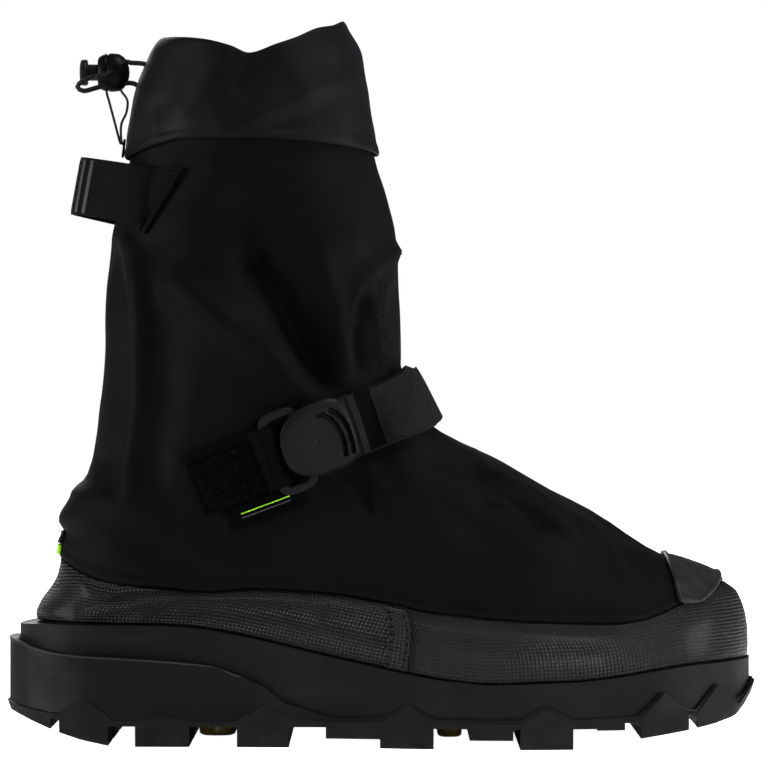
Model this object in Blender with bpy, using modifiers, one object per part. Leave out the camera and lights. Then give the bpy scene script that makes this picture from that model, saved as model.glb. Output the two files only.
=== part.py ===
"""Winter overshoe, right shoe. Metres, +Z up, toe towards +X, outer side towards -Y, stands on Z = 0."""

import math

import bmesh
import bpy
from mathutils import Matrix, Vector

# Main sizes
LENGTH = 0.330
HEIGHT = 0.3155
BALL_WIDTH = 0.120
SHAFT_WIDTH = 0.104
LUG_DEPTH = 0.0088
CLEARANCE = 0.0003
LAP = 0.0010
FADE_START = 0.30
FADE_LENGTH = 0.25

# Sole
HEEL_ROUND = 0.048
TOE_ROUND = 0.075
LUG_LEAST = 0.0015
PLATE_FOLLOW = 0.4
TREAD_PLATE = 0.003
RIB_RISE = 0.0022
RIB_STEP = 0.001
CUP_WALL_HEEL = 0.0042
CUP_WALL_TOE = 0.0012
TOP_LEDGE_HEEL = 0.0066
TOP_LEDGE_TOE = 0.0026
CUP_DEPTH = 0.008
CHANNEL_Y = 0.020
CHANNEL_WIDTH = 0.005
PAD_WIDTH = 0.024

# Upper
WALL = 0.0018
FOXING = 0.0010
HEM_STEP = 0.0008
INSOLE = 0.0035
CUFF_WALL = 0.0012
CUFF_LAP = 0.011
CUFF_PROUD = 0.0012
CUFF_ROLL = 0.0012
AROUND = 48
SEAM_GAP = 0.002

# Strap and buckle
STRAP_WIDTH = 0.0275
STRAP = 0.0016
STRAP_LIFT = 0.0009
STRAP_SLOPE = 0.375
STRAP_LEVEL = 0.142
TAIL_FRONT = -0.0100
TAIL_LENGTH = 0.047
PILE = 0.0014
PILE_REAR = 0.003
PILE_FRONT = 0.0155
PILE_EDGES = (0.001, 0.005)
LABEL = 0.0010
LABEL_SPAN = (-0.0485, -0.0135)
LABEL_DROP = 0.011
BUCKLE_X = -0.0275
FRAME_REAR = -0.025
FRAME_WIDTH = 0.037
FRAME_LENGTH = 0.020
FRAME_BAR = 0.004
FRAME = 0.0022
LEVER_WIDTH = 0.0325
LEVER_LENGTH = 0.033
LEVER = 0.0045

# Toe patch, heel tab, pull loop
PATCH = 0.0012
PATCH_RIM = 0.0008
PATCH_LIFT = 0.0013
PATCH_HALF = 0.034
TAB_WIDTH = 0.016
TAB_HEIGHT = 0.004
TAB = 0.0010
LOOP_WIDTH = 0.025
LOOP = 0.0014
LOOP_BACK = 0.020
LOOP_LIFT = 0.0010

# Cord lock and cords
LOCK_SIZE = (0.014, 0.013, 0.017)
LOCK_OFF = 0.0138
LOCK_SIDE = -0.004
BORE_RADIUS = 0.0041
STEM_RADIUS = 0.0036
BUTTON_RADIUS = 0.0058
BUTTON = 0.0032
BUTTON_TRAVEL = 0.003
CORD = 0.0022
KEEPER_CORD = 0.0011

# Heel and instep lines of the upper: height as a share of HEIGHT, x as a share of LENGTH
BACK_LINE = (
    # height, x
    (0.130, -0.455),
    (0.158, -0.459),
    (0.192, -0.448),
    (0.233, -0.433),
    (0.270, -0.429),
    (0.284, -0.424),
    (0.302, -0.432),
    (0.336, -0.415),
    (0.370, -0.393),
    (0.428, -0.382),
    (0.520, -0.372),
    (0.600, -0.370),
    (0.694, -0.361),
    (0.745, -0.349),
    (0.802, -0.337),
    (0.887, -0.327),
    (0.953, -0.304),
    (1.000, -0.275),
)
FRONT_LINE = (
    # height, x
    (0.060, 0.484),
    (0.111, 0.491),
    (0.139, 0.489),
    (0.170, 0.485),
    (0.200, 0.475),
    (0.211, 0.466),
    (0.227, 0.446),
    (0.246, 0.400),
    (0.256, 0.365),
    (0.275, 0.334),
    (0.304, 0.294),
    (0.345, 0.222),
    (0.391, 0.146),
    (0.412, 0.103),
    (0.434, 0.066),
    (0.488, 0.040),
    (0.520, 0.024),
    (0.580, 0.024),
    (0.702, 0.017),
    (0.759, 0.004),
    (0.804, -0.010),
    (0.907, -0.026),
    (0.951, -0.031),
    (1.000, -0.053),
)
# Top edge of the sole and lower edge of the black upper: x as a share of LENGTH, height as a share of HEIGHT
SOLE_LINE = (
    # x, height
    (-0.500, 0.158),
    (-0.440, 0.163),
    (-0.310, 0.1635),
    (-0.254, 0.1615),
    (-0.210, 0.1555),
    (-0.158, 0.144),
    (-0.060, 0.120),
    (0.002, 0.107),
    (0.048, 0.097),
    (0.087, 0.090),
    (0.139, 0.086),
    (0.200, 0.088),
    (0.255, 0.090),
    (0.310, 0.096),
    (0.362, 0.104),
    (0.411, 0.109),
    (0.500, 0.111),
)
HEM_LINE = (
    # x, height
    (-0.460, 0.258),
    (-0.432, 0.252),
    (-0.390, 0.232),
    (-0.348, 0.221),
    (-0.288, 0.216),
    (-0.227, 0.211),
    (-0.167, 0.215),
    (-0.082, 0.211),
    (-0.003, 0.200),
    (0.048, 0.188),
    (0.100, 0.181),
    (0.179, 0.174),
    (0.300, 0.170),
    (0.336, 0.174),
    (0.370, 0.185),
    (0.400, 0.198),
    (0.439, 0.214),
    (0.500, 0.226),
)
# Bottom of the tread and top edge of the heel cup
TREAD_LINE = (
    # x, height
    (-0.500, 0.041),
    (-0.430, 0.021),
    (-0.388, 0.0086),
    (-0.340, 0.0),
    (0.256, 0.0),
    (0.333, 0.0133),
    (0.400, 0.022),
    (0.464, 0.035),
    (0.500, 0.066),
)
CUP_LINE = (
    # x, height
    (-0.500, 0.140),
    (-0.460, 0.131),
    (-0.420, 0.124),
    (-0.340, 0.119),
    (-0.280, 0.115),
    (-0.230, 0.110),
    (-0.194, 0.099),
    (-0.158, 0.084),
    (-0.138, 0.067),
    (-0.117, 0.049),
    (-0.100, 0.030),
    (0.500, 0.030),
)
# Outline from above: x as a share of LENGTH, half width of half of BALL_WIDTH, bend to the inner side of LENGTH
PLAN = (
    # x, half width, bend
    (-0.500, 0.79, 0.000),
    (-0.240, 0.79, -0.003),
    (-0.090, 0.80, -0.008),
    (0.060, 0.90, -0.010),
    (0.180, 0.99, -0.005),
    (0.300, 1.00, 0.006),
    (0.410, 0.98, 0.017),
    (0.500, 0.97, 0.028),
)
# Shaft seen from the front: height as a share of HEIGHT, share of half of SHAFT_WIDTH
SHAFT = (
    # height, half width
    (0.10, 0.30),
    (0.30, 0.68),
    (0.41, 0.88),
    (0.48, 0.96),
    (0.54, 1.00),
    (0.64, 1.00),
    (0.75, 0.98),
    (0.82, 0.94),
    (0.90, 0.92),
    (0.96, 0.88),
    (1.00, 0.85),
)
# Cuff's top edge: x as a share of LENGTH, height as a share of HEIGHT
CUFF_TOP = (
    # x, height
    (-0.300, 0.972),
    (-0.285, 0.968),
    (-0.232, 0.960),
    (-0.195, 0.949),
    (-0.173, 0.940),
    (-0.135, 0.953),
    (-0.113, 0.962),
    (-0.085, 0.977),
    (-0.067, 0.983),
    (-0.047, 0.998),
    (-0.035, 0.990),
)
CUFF_BOTTOM = 0.817
# Levels of the upper above its hem: heights at heel and toe as shares of HEIGHT, how much of the hem's wave stays
LEVELS = (
    # heel, toe, wave
    (0.268, 0.233, 0.90),
    (0.279, 0.243, 0.80),
    (0.296, 0.257, 0.65),
    (0.316, 0.281, 0.45),
    (0.342, 0.322, 0.25),
    (0.374, 0.368, 0.0),
    (0.412, 0.409, 0.0),
    (0.450, 0.447, 0.0),
    (0.485, 0.485, 0.0),
    (0.526, 0.526, 0.0),
    (0.580, 0.580, 0.0),
    (0.634, 0.634, 0.0),
    (0.697, 0.697, 0.0),
    (0.754, 0.754, 0.0),
    (0.802, 0.802, 0.0),
)
# Blocks of the tread along the outer edge: x as a share of LENGTH, rib's top as a share of HEIGHT
LUGS = (
    # start, end, rib
    (-0.497, -0.432, 0.040),
    (-0.420, -0.355, 0.066),
    (-0.320, -0.250, 0.044),
    (-0.188, -0.121, 0.056),
    (-0.003, 0.066, 0.056),
    (0.177, 0.245, 0.055),
    (0.333, 0.398, 0.074),
    (0.410, 0.470, 0.082),
)
# Cuts across the tread between the blocks, and how deep each goes as a share of LUG_DEPTH
GROOVES = (
    # start, end, depth
    (-0.432, -0.420, 1.0),
    (-0.355, -0.320, 1.0),
    (-0.250, -0.188, 1.0),
    (-0.121, -0.073, 1.0),
    (-0.073, -0.003, 0.45),
    (0.066, 0.112, 1.0),
    (0.112, 0.168, 0.45),
    (0.168, 0.177, 1.0),
    (0.245, 0.276, 1.0),
    (0.276, 0.312, 0.85),
    (0.312, 0.333, 1.1),
    (0.398, 0.410, 1.2),
)
# Patch over the toe: share of its half width, rear and front edge as shares of LENGTH
PATCH_EDGES = (
    # side, rear, front
    (0.00, 0.368, 0.456),
    (0.35, 0.374, 0.452),
    (0.70, 0.384, 0.440),
    (0.88, 0.392, 0.430),
    (1.00, 0.400, 0.418),
)

BLACK_FABRIC = ("black fabric", (0.010, 0.010, 0.011), 0.85)
COARSE_NYLON = ("coarse nylon", (0.040, 0.042, 0.046), 0.55)
RIPSTOP = ("ripstop nylon", (0.011, 0.011, 0.012), 0.75)
BLACK_RUBBER = ("black rubber", (0.022, 0.021, 0.021), 0.70)
GREY_FOAM = ("insole foam", (0.050, 0.050, 0.052), 0.90)
WEBBING = ("black webbing", (0.014, 0.016, 0.015), 0.80)
GREY_PLASTIC = ("dark grey plastic", (0.035, 0.036, 0.038), 0.45)
LIGHT_PLASTIC = ("grey plastic", (0.180, 0.185, 0.190), 0.45)
LIME = ("lime tape", (0.330, 0.720, 0.030), 0.60)
AMBER = ("amber rubber", (0.600, 0.370, 0.060), 0.40)


def between(rows, at, column=1):
    """Smooth value of a table's column at a value of its first column, with no overshoot."""
    if at <= rows[0][0]:
        return rows[0][column]
    if at >= rows[-1][0]:
        return rows[-1][column]
    i = max(n for n in range(len(rows) - 1) if rows[n][0] <= at)

    def step(n):
        return (rows[n + 1][column] - rows[n][column]) / (rows[n + 1][0] - rows[n][0])

    def slope(n):
        if n in (0, len(rows) - 1) or step(n - 1) * step(n) <= 0:
            return 0.0
        return 2 * step(n - 1) * step(n) / (step(n - 1) + step(n))

    width = rows[i + 1][0] - rows[i][0]
    t = (at - rows[i][0]) / width
    start = rows[i][column] * (1 + 2 * t) * (1 - t) ** 2 + slope(i) * width * t * (1 - t) ** 2
    end = rows[i + 1][column] * (3 - 2 * t) * t * t + slope(i + 1) * width * t * t * (t - 1)
    return start + end


def back_x(z):
    return LENGTH * between(BACK_LINE, z / HEIGHT)


def front_x(z):
    return LENGTH * between(FRONT_LINE, z / HEIGHT)


def sole_z(x):
    return HEIGHT * between(SOLE_LINE, x / LENGTH)


def hem_z(x):
    return HEIGHT * between(HEM_LINE, x / LENGTH)


def tread_z(x):
    return HEIGHT * between(TREAD_LINE, x / LENGTH)


def plate_z(x):
    """Underside of the sole between its blocks."""
    return max(LUG_DEPTH + PLATE_FOLLOW * tread_z(x), tread_z(x) + LUG_LEAST)


def rib_z(x):
    """Top of the pointed ribs that rise from the blocks on the side of the sole."""
    top = plate_z(x) + RIB_RISE
    for start, end, rib in LUGS:
        share = abs(2 * x / LENGTH - start - end) / (end - start)
        if share < 1:
            top += max(0.0, HEIGHT * rib - top) * (1 - share)
    return top


def cup_z(x):
    return max(HEIGHT * between(CUP_LINE, x / LENGTH), rib_z(x) + RIB_STEP)


def bend(x):
    return LENGTH * between(PLAN, x / LENGTH, 2)


def rounding(distance, length):
    """Share of the full width at a distance from a round end."""
    rest = 1 - min(1.0, max(0.0, distance) / length)
    return math.sqrt(max(0.0, 1 - rest * rest))


def mix(heel, toe, x):
    """Value that changes from heel to ball."""
    t = min(1.0, max(0.0, (x / LENGTH + 0.40) / 0.45))
    return heel + (toe - heel) * t * t * (3 - 2 * t)


INSTEP_FOOT = 0.139 * HEIGHT
SHAFT_FOOT = 0.520 * HEIGHT
ARCH_POWER = 2.6


def ridge_z(x):
    """Height of the instep line over x, carried on backwards inside the shaft."""
    top_x = front_x(SHAFT_FOOT)
    if x <= top_x:
        return SHAFT_FOOT + (top_x - x) * 0.25
    low, high = INSTEP_FOOT, SHAFT_FOOT
    for _ in range(26):
        middle = (low + high) / 2
        if front_x(middle) > x:
            low = middle
        else:
            high = middle
    return high


def foot_half_width(x, z):
    plan = BALL_WIDTH / 2 * between(PLAN, x / LENGTH) - mix(TOP_LEDGE_HEEL, TOP_LEDGE_TOE, x)
    heel = rounding(x - back_x(z), HEEL_ROUND)
    toe = rounding(front_x(min(z, INSTEP_FOOT)) - x, TOE_ROUND)
    foot = sole_z(x) - CUP_DEPTH
    share = (z - foot) / max(0.001, ridge_z(x) - foot)
    arch = math.sqrt(max(0.0, 1 - max(0.0, min(1.0, share)) ** ARCH_POWER))
    return plan * heel * toe * arch


def shaft_half_width(x, z):
    front = front_x(z) if z > SHAFT_FOOT else front_x(SHAFT_FOOT)
    back = back_x(z)
    across = (2 * x - front - back) / (front - back)
    if abs(across) >= 1:
        return 0.0
    return SHAFT_WIDTH / 2 * between(SHAFT, z / HEIGHT) * math.sqrt(1 - across * across)


def half_width(x, z):
    """Half of the upper's width at a point of its side view: the foot and the shaft, run into each other."""
    foot = foot_half_width(x, z)
    shaft = shaft_half_width(x, z)
    return (foot**6 + shaft**6) ** (1 / 6)


def ends(height):
    """Where a cut of the upper, whose height is a function of x, meets the heel line and the instep line."""
    back, front = back_x(height(0.0)), front_x(height(0.0))
    for _ in range(30):
        back = (back + back_x(height(back))) / 2
        front = (front + front_x(height(front))) / 2
    return back, front


def point_on_cut(height, limits, angle):
    """Angle 0 is the heel, a quarter turn the outer side, a half turn the toe."""
    back, front = limits
    x = back + (front - back) * (1 - math.cos(angle)) / 2
    z = height(x)
    side = 0.0 if abs(math.sin(angle)) < 1e-6 else math.copysign(half_width(x, z), -math.sin(angle))
    fade = min(1.0, max(0.0, 1 - (z / HEIGHT - FADE_START) / FADE_LENGTH))
    return Vector((x, bend(x) * fade + side, z))


def cut_of_upper(height, angles, out=0.0):
    """Points round the upper on one cut, moved outwards along its surface."""
    step = 0.0008
    turn = 0.015
    limits = ends(height)
    above = ends(lambda x: height(x) + step)
    below = ends(lambda x: height(x) - step)
    points = []
    for angle in angles:
        here = point_on_cut(height, limits, angle)
        along = point_on_cut(height, limits, angle + turn) - point_on_cut(height, limits, angle - turn)
        up = point_on_cut(lambda x: height(x) + step, above, angle)
        up -= point_on_cut(lambda x: height(x) - step, below, angle)
        normal = along.cross(up).normalized()
        points.append(here + normal * out)
    return points


def side_point(x, z, out=0.0):
    """Point of the upper's outer side at a place of the side view, moved outwards."""
    step = 0.001
    here = Vector((x, bend(x) - half_width(x, z), z))
    wide = (half_width(x + step, z) - half_width(x - step, z)) / (2 * step)
    high = (half_width(x, z + step) - half_width(x, z - step)) / (2 * step)
    normal = Vector((-wide, -1.0, -high)).normalized()
    return here + normal * out, normal


def full_turn():
    return [2 * math.pi * n / AROUND for n in range(AROUND)]


def sole_angles():
    """Regular angles and those of the edges and middles of the blocks, the same on both sides."""
    angles = {round(math.pi * n / (AROUND // 2), 5) for n in range(AROUND // 2 + 1)}
    for start, end, _ in LUGS:
        for x in (start, (start + end) / 2, end):
            angle = math.acos(max(-1.0, min(1.0, -2 * x)))
            if all(abs(angle - other) > 0.02 for other in angles):
                angles.add(angle)
    half = sorted(angles)
    return half + [2 * math.pi - angle for angle in reversed(half[1:-1])]


def sole_cut(height, angles, heel_inset, toe_inset):
    """Points round the sole's outline, drawn in by an inset."""
    back = -LENGTH / 2 + heel_inset
    front = LENGTH / 2 - toe_inset
    points = []
    for angle in angles:
        x = back + (front - back) * (1 - math.cos(angle)) / 2
        plan = BALL_WIDTH / 2 * between(PLAN, x / LENGTH) - mix(heel_inset, toe_inset, x)
        half = plan * rounding(x - back, HEEL_ROUND) * rounding(front - x, TOE_ROUND)
        side = 0.0 if abs(math.sin(angle)) < 1e-6 else math.copysign(half, -math.sin(angle))
        points.append(Vector((x, bend(x) + side, height(x))))
    return points


def material_of(look):
    name, colour, roughness = look
    material = bpy.data.materials.get(name)
    if material:
        return material
    material = bpy.data.materials.new(name)
    material.use_nodes = True
    shader = material.node_tree.nodes["Principled BSDF"]
    shader.inputs["Base Color"].default_value = (*colour, 1.0)
    shader.inputs["Roughness"].default_value = roughness
    return material


def add_object(name, mesh_data, look, collection):
    thing = bpy.data.objects.new(name, mesh_data)
    collection.objects.link(thing)
    if look:
        mesh_data.materials.append(material_of(look))
    return thing


def mesh_from(name, form, look, collection):
    bmesh.ops.recalc_face_normals(form, faces=form.faces)
    data = bpy.data.meshes.new(name)
    form.to_mesh(data)
    form.free()
    data.shade_smooth()
    data.set_sharp_from_angle(angle=math.radians(40))
    return add_object(name, data, look, collection)


def rings_of(form, loops):
    return [[form.verts.new(point) for point in loop] for loop in loops]


def join_rings(form, first, second):
    count = len(first)
    for n in range(count):
        after = (n + 1) % count
        form.faces.new((first[n], first[after], second[after], second[n]))


def close_ring(form, ring):
    """Closes a loop with strips from its outer to its inner side."""
    count = len(ring)
    half = count // 2
    form.faces.new((ring[0], ring[1], ring[count - 1]))
    for n in range(1, half - 1):
        form.faces.new((ring[n], ring[n + 1], ring[count - n - 1], ring[count - n]))
    form.faces.new((ring[half - 1], ring[half], ring[half + 1]))


def drum(name, loops, look, collection):
    """Solid from a stack of loops, closed at both ends."""
    form = bmesh.new()
    rings = rings_of(form, loops)
    for lower, upper in zip(rings, rings[1:]):
        join_rings(form, lower, upper)
    close_ring(form, rings[0])
    close_ring(form, rings[-1])
    return mesh_from(name, form, look, collection)


def sleeve(name, outer, inner, look, collection):
    """Open tube with a wall: loops up the outside and up the inside."""
    form = bmesh.new()
    rings = rings_of(form, outer + inner[::-1])
    for lower, upper in zip(rings, rings[1:] + rings[:1]):
        join_rings(form, lower, upper)
    return mesh_from(name, form, look, collection)


def slab(name, top, bottom, look, collection):
    """Sheet with a thickness: two grids of points with as many rows and columns."""
    form = bmesh.new()
    upper = [[form.verts.new(point) for point in row] for row in top]
    lower = [[form.verts.new(point) for point in row] for row in bottom]
    for i in range(len(upper) - 1):
        for j in range(len(upper[0]) - 1):
            form.faces.new((upper[i][j], upper[i][j + 1], upper[i + 1][j + 1], upper[i + 1][j]))
            form.faces.new((lower[i][j], lower[i + 1][j], lower[i + 1][j + 1], lower[i][j + 1]))

    def rim(grid):
        edge = list(grid[0]) + [row[-1] for row in grid[1:]]
        edge += list(reversed(grid[-1][:-1])) + [row[0] for row in reversed(grid[1:-1])]
        return edge

    join_rings(form, rim(upper), rim(lower))
    return mesh_from(name, form, look, collection)


def open_sheet(name, grid, look, collection):
    """Open surface through a grid of points, facing the way its rows turn round the upper."""
    form = bmesh.new()
    rows = [[form.verts.new(point) for point in row] for row in grid]
    for lower, upper in zip(rows, rows[1:]):
        for n in range(len(lower) - 1):
            form.faces.new((lower[n], lower[n + 1], upper[n + 1], upper[n]))
    data = bpy.data.meshes.new(name)
    form.to_mesh(data)
    form.free()
    data.shade_smooth()
    return add_object(name, data, look, collection)


def thicken(sheet, thickness):
    wall = sheet.modifiers.new("thickness", "SOLIDIFY")
    wall.thickness = thickness
    wall.offset = 1.0


def cut_away(thing, cutter):
    boolean = thing.modifiers.new(cutter.name, "BOOLEAN")
    boolean.operation = "DIFFERENCE"
    boolean.object = cutter


def box_cutter(name, low, high, cutters):
    form = bmesh.new()
    size = Vector(high) - Vector(low)
    middle = (Vector(high) + Vector(low)) / 2
    bmesh.ops.create_cube(form, size=1.0, matrix=Matrix.Translation(middle) @ Matrix.Diagonal((*size, 1.0)))
    cutter = mesh_from(name, form, None, cutters)
    cutter.hide_render = True
    cutter.display_type = "WIRE"
    return cutter


def build_outsole(parts, cutters):
    angles = sole_angles()
    cup_heel = CUP_WALL_HEEL + RIB_STEP
    cup_toe = CUP_WALL_TOE + RIB_STEP
    loops = (
        sole_cut(tread_z, angles, 0.0015, 0.0015),
        sole_cut(rib_z, angles, 0.0, 0.0),
        sole_cut(lambda x: rib_z(x) + RIB_STEP / 2, angles, RIB_STEP, RIB_STEP),
        sole_cut(lambda x: cup_z(x) + RIB_STEP / 2, angles, RIB_STEP, RIB_STEP),
        sole_cut(lambda x: cup_z(x) + RIB_STEP / 2, angles, cup_heel, cup_toe),
        sole_cut(lambda x: plate_z(x) + TREAD_PLATE, angles, cup_heel, cup_toe),
    )
    outsole = drum("outsole", loops, BLACK_RUBBER, parts)
    for number, (start, end, depth) in enumerate(GROOVES):
        middle = LENGTH * (start + end) / 2
        top = tread_z(middle) * PLATE_FOLLOW + LUG_DEPTH * depth
        low = (LENGTH * start, -BALL_WIDTH, -LUG_DEPTH)
        high = (LENGTH * end, BALL_WIDTH, top)
        cut_away(outsole, box_cutter(f"groove_{number}", low, high, cutters))
    for name, y in (("channel_outer", -CHANNEL_Y), ("channel_inner", CHANNEL_Y)):
        low = (-0.36 * LENGTH, y - CHANNEL_WIDTH / 2, -LUG_DEPTH)
        high = (0.32 * LENGTH, y + CHANNEL_WIDTH / 2, LUG_DEPTH * 0.9)
        cut_away(outsole, box_cutter(name, low, high, cutters))


def build_midsole(parts):
    angles = sole_angles()
    heel = CUP_WALL_HEEL + RIB_STEP + CLEARANCE
    toe = CUP_WALL_TOE + RIB_STEP + CLEARANCE
    inner = -HEM_STEP - FOXING
    loops = (
        sole_cut(lambda x: plate_z(x) + TREAD_PLATE + CLEARANCE, angles, heel, toe),
        sole_cut(sole_z, angles, heel, toe),
        cut_of_upper(sole_z, angles, inner),
        cut_of_upper(lambda x: sole_z(x) - CUP_DEPTH, angles, inner),
    )
    drum("midsole", loops, BLACK_RUBBER, parts)


def build_insole(parts):
    angles = full_turn()
    inner = -HEM_STEP - FOXING - WALL - 3 * CLEARANCE

    def foot(x):
        return sole_z(x) - CUP_DEPTH + LAP

    loops = (
        cut_of_upper(foot, angles, inner),
        cut_of_upper(lambda x: foot(x) + INSOLE, angles, inner),
    )
    drum("insole", loops, GREY_FOAM, parts)


def level_height(level):
    """Height over x of one of the upper's levels above its hem."""
    heel, toe, wave = level
    back, front = HEM_LINE[1][0], HEM_LINE[-1][0]
    hem_heel, hem_toe = HEM_LINE[1][1], HEM_LINE[-1][1]

    def height(x):
        share = (x / LENGTH - back) / (front - back)
        line = heel + (toe - heel) * share
        hem = hem_heel + (hem_toe - hem_heel) * share
        return HEIGHT * (line + wave * (hem_z(x) / HEIGHT - hem))

    return height


def foxing_height(share):
    """Height over x at a share of the way from the sole's edge to the hem."""
    return lambda x: sole_z(x) + (hem_z(x) - sole_z(x)) * share


def build_upper(parts):
    angles = full_turn()
    under = -HEM_STEP - FOXING - CLEARANCE
    rows = [
        (lambda x: sole_z(x) - CUP_DEPTH + LAP, under, under - WALL),
        (foxing_height(0.0), under, under - WALL),
        (foxing_height(0.5), under, under - WALL),
        (lambda x: hem_z(x) - CLEARANCE, under, under - WALL),
        (hem_z, 0.0, under - WALL),
    ]
    rows += [(level_height(level), 0.0, -WALL) for level in LEVELS]
    rows.append((lambda x: HEIGHT * CUFF_BOTTOM + CUFF_LAP, 0.0, -WALL))
    outer = [cut_of_upper(height, angles, out) for height, out, _ in rows]
    inner = [cut_of_upper(height, angles, out) for height, _, out in rows]
    sleeve("upper", outer, inner, BLACK_FABRIC, parts)


def build_foxing(parts):
    turn = 2 * math.pi / AROUND
    quarter = AROUND // 4
    seam = quarter * turn
    rear = [turn * n for n in range(-quarter, quarter + 1)]
    front = [seam + SEAM_GAP] + [turn * n for n in range(quarter + 1, 3 * quarter)]
    front.append(2 * math.pi - seam - SEAM_GAP)
    heights = (lambda x: sole_z(x) + LAP, foxing_height(0.5), lambda x: hem_z(x) - 3 * CLEARANCE)
    # The band swells a little over the sole at the heel
    swell = {"foxing_rear": (-0.3, 0.6, 0.0), "foxing_front": (-0.2, 0.2, 0.0)}
    for name, angles in (("foxing_rear", rear), ("foxing_front", front)):
        outs = [HEM_STEP * (share - 1) for share in swell[name]]
        top = [cut_of_upper(height, angles, out) for height, out in zip(heights, outs)]
        bottom = [cut_of_upper(height, angles, -HEM_STEP - FOXING) for height in heights]
        slab(name, top, bottom, COARSE_NYLON, parts)


def build_cuff(parts):
    angles = full_turn()

    def rise(share):
        bottom = HEIGHT * CUFF_BOTTOM
        return lambda x: bottom + (HEIGHT * between(CUFF_TOP, x / LENGTH) - bottom) * share

    # share of the cuff's height, how far it stands out
    rows = (
        (0.0, CUFF_PROUD + CUFF_ROLL * 0.6),
        (0.06, CUFF_PROUD + CUFF_ROLL),
        (0.20, CUFF_PROUD + CUFF_ROLL * 0.8),
        (0.45, CUFF_PROUD + CUFF_ROLL * 0.4),
        (0.75, CUFF_PROUD),
        (1.0, CUFF_PROUD * 0.8),
    )
    outer = [cut_of_upper(rise(share), angles, CLEARANCE + out) for share, out in rows]
    inner = [cut_of_upper(rise(share), angles, CLEARANCE + out - CUFF_WALL) for share, out in rows]
    sleeve("cuff", outer, inner, RIPSTOP, parts)


def top_point(x, y, out=0.0):
    """Point on top of the toe over a place of the plan, moved outwards."""

    def height(x, y):
        plan = BALL_WIDTH / 2 * between(PLAN, x / LENGTH) - TOP_LEDGE_TOE
        plan *= rounding(front_x(INSTEP_FOOT) - x, TOE_ROUND)
        foot = sole_z(x) - CUP_DEPTH
        across = min(1.0, abs(y) / plan)
        return foot + (ridge_z(x) - foot) * (1 - across**2) ** (1 / ARCH_POWER)

    step = 0.001
    here = Vector((x, y + bend(x), height(x, y)))
    along = (height(x + step, y) - height(x - step, y)) / (2 * step)
    across = (height(x, y + step) - height(x, y - step)) / (2 * step)
    normal = Vector((-along, -across, 1.0)).normalized()
    return here + normal * out


def build_toe_patch(parts):
    shares = (0.0, 0.12, 0.30, 0.5, 0.70, 0.88, 1.0)
    sides = (-1.0, -0.88, -0.7, -0.35, 0.0, 0.35, 0.7, 0.88, 1.0)
    top, bottom = [], []
    for side in sides:
        rear = LENGTH * between(PATCH_EDGES, abs(side), 1)
        front = LENGTH * between(PATCH_EDGES, abs(side), 2)
        rim_here = abs(side) > 0.9
        top_row, bottom_row = [], []
        for share in shares:
            x = rear + (front - rear) * share
            rim = PATCH_RIM if rim_here or share in (0.0, 0.12, 0.88, 1.0) else 0.0
            top_row.append(top_point(x, side * PATCH_HALF, PATCH_LIFT + PATCH + rim))
            bottom_row.append(top_point(x, side * PATCH_HALF, PATCH_LIFT))
        top.append(top_row)
        bottom.append(bottom_row)
    slab("toe_patch", top, bottom, BLACK_RUBBER, parts)


def build_heel_tab(parts):
    base = 0.255 * HEIGHT
    angles = [TAB_WIDTH / HEEL_ROUND * share for share in (-0.5, -0.25, 0.0, 0.25, 0.5)]
    rows = [base + TAB_HEIGHT * share for share in (0.0, 0.5, 1.0)]
    top = [cut_of_upper(lambda x, z=z: z, angles, CLEARANCE + TAB) for z in rows]
    bottom = [cut_of_upper(lambda x, z=z: z, angles, CLEARANCE) for z in rows]
    slab("heel_tab", top, bottom, LIME, parts)


def strap_height(across):
    """Height over x of a line along the strap, a distance above its middle."""
    rise = across * math.sqrt(1 + STRAP_SLOPE**2)
    return lambda x: STRAP_LEVEL + STRAP_SLOPE * x + rise


def strap_place(along, across):
    """Place in the side view, from the buckle's middle along the strap and across it."""
    length = math.sqrt(1 + STRAP_SLOPE**2)
    x = BUCKLE_X + along / length - across * STRAP_SLOPE / length
    z = STRAP_LEVEL + STRAP_SLOPE * BUCKLE_X + along * STRAP_SLOPE / length + across / length
    return x, z


def build_instep_strap(parts):
    back, front = ends(strap_height(0.0))
    start_x = strap_place(-0.0085, 0.0)[0]
    start = math.acos(1 - 2 * (start_x - back) / (front - back))
    end = 2 * math.pi - math.acos(1 - 2 * (-0.24 * LENGTH - back) / (front - back))
    count = 30
    angles = [start + (end - start) * n / count for n in range(count + 1)]
    rows = [STRAP_WIDTH * share for share in (-0.5, -0.17, 0.17, 0.5)]
    grid = [cut_of_upper(strap_height(row), angles, 0.002) for row in rows]
    strap = open_sheet("instep_strap", grid, WEBBING, parts)
    wrap = strap.modifiers.new("on the upper", "SHRINKWRAP")
    wrap.target = bpy.data.objects["upper"]
    wrap.wrap_mode = "ABOVE_SURFACE"
    wrap.offset = STRAP_LIFT
    thicken(strap, STRAP)


def sheet_on_side(name, span, width, thickness, lift, look, parts):
    """Sheet that lies on the outer side along the strap: from and to along it, lowest and highest across it."""
    columns = [span[0] + (span[1] - span[0]) * n / 5 for n in range(6)]
    rows = [width[0] + (width[1] - width[0]) * n / 4 for n in range(5)]
    top = [[side_point(*strap_place(a, b), lift + thickness)[0] for a in columns] for b in rows]
    bottom = [[side_point(*strap_place(a, b), lift)[0] for a in columns] for b in rows]
    slab(name, top, bottom, look, parts)


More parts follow.
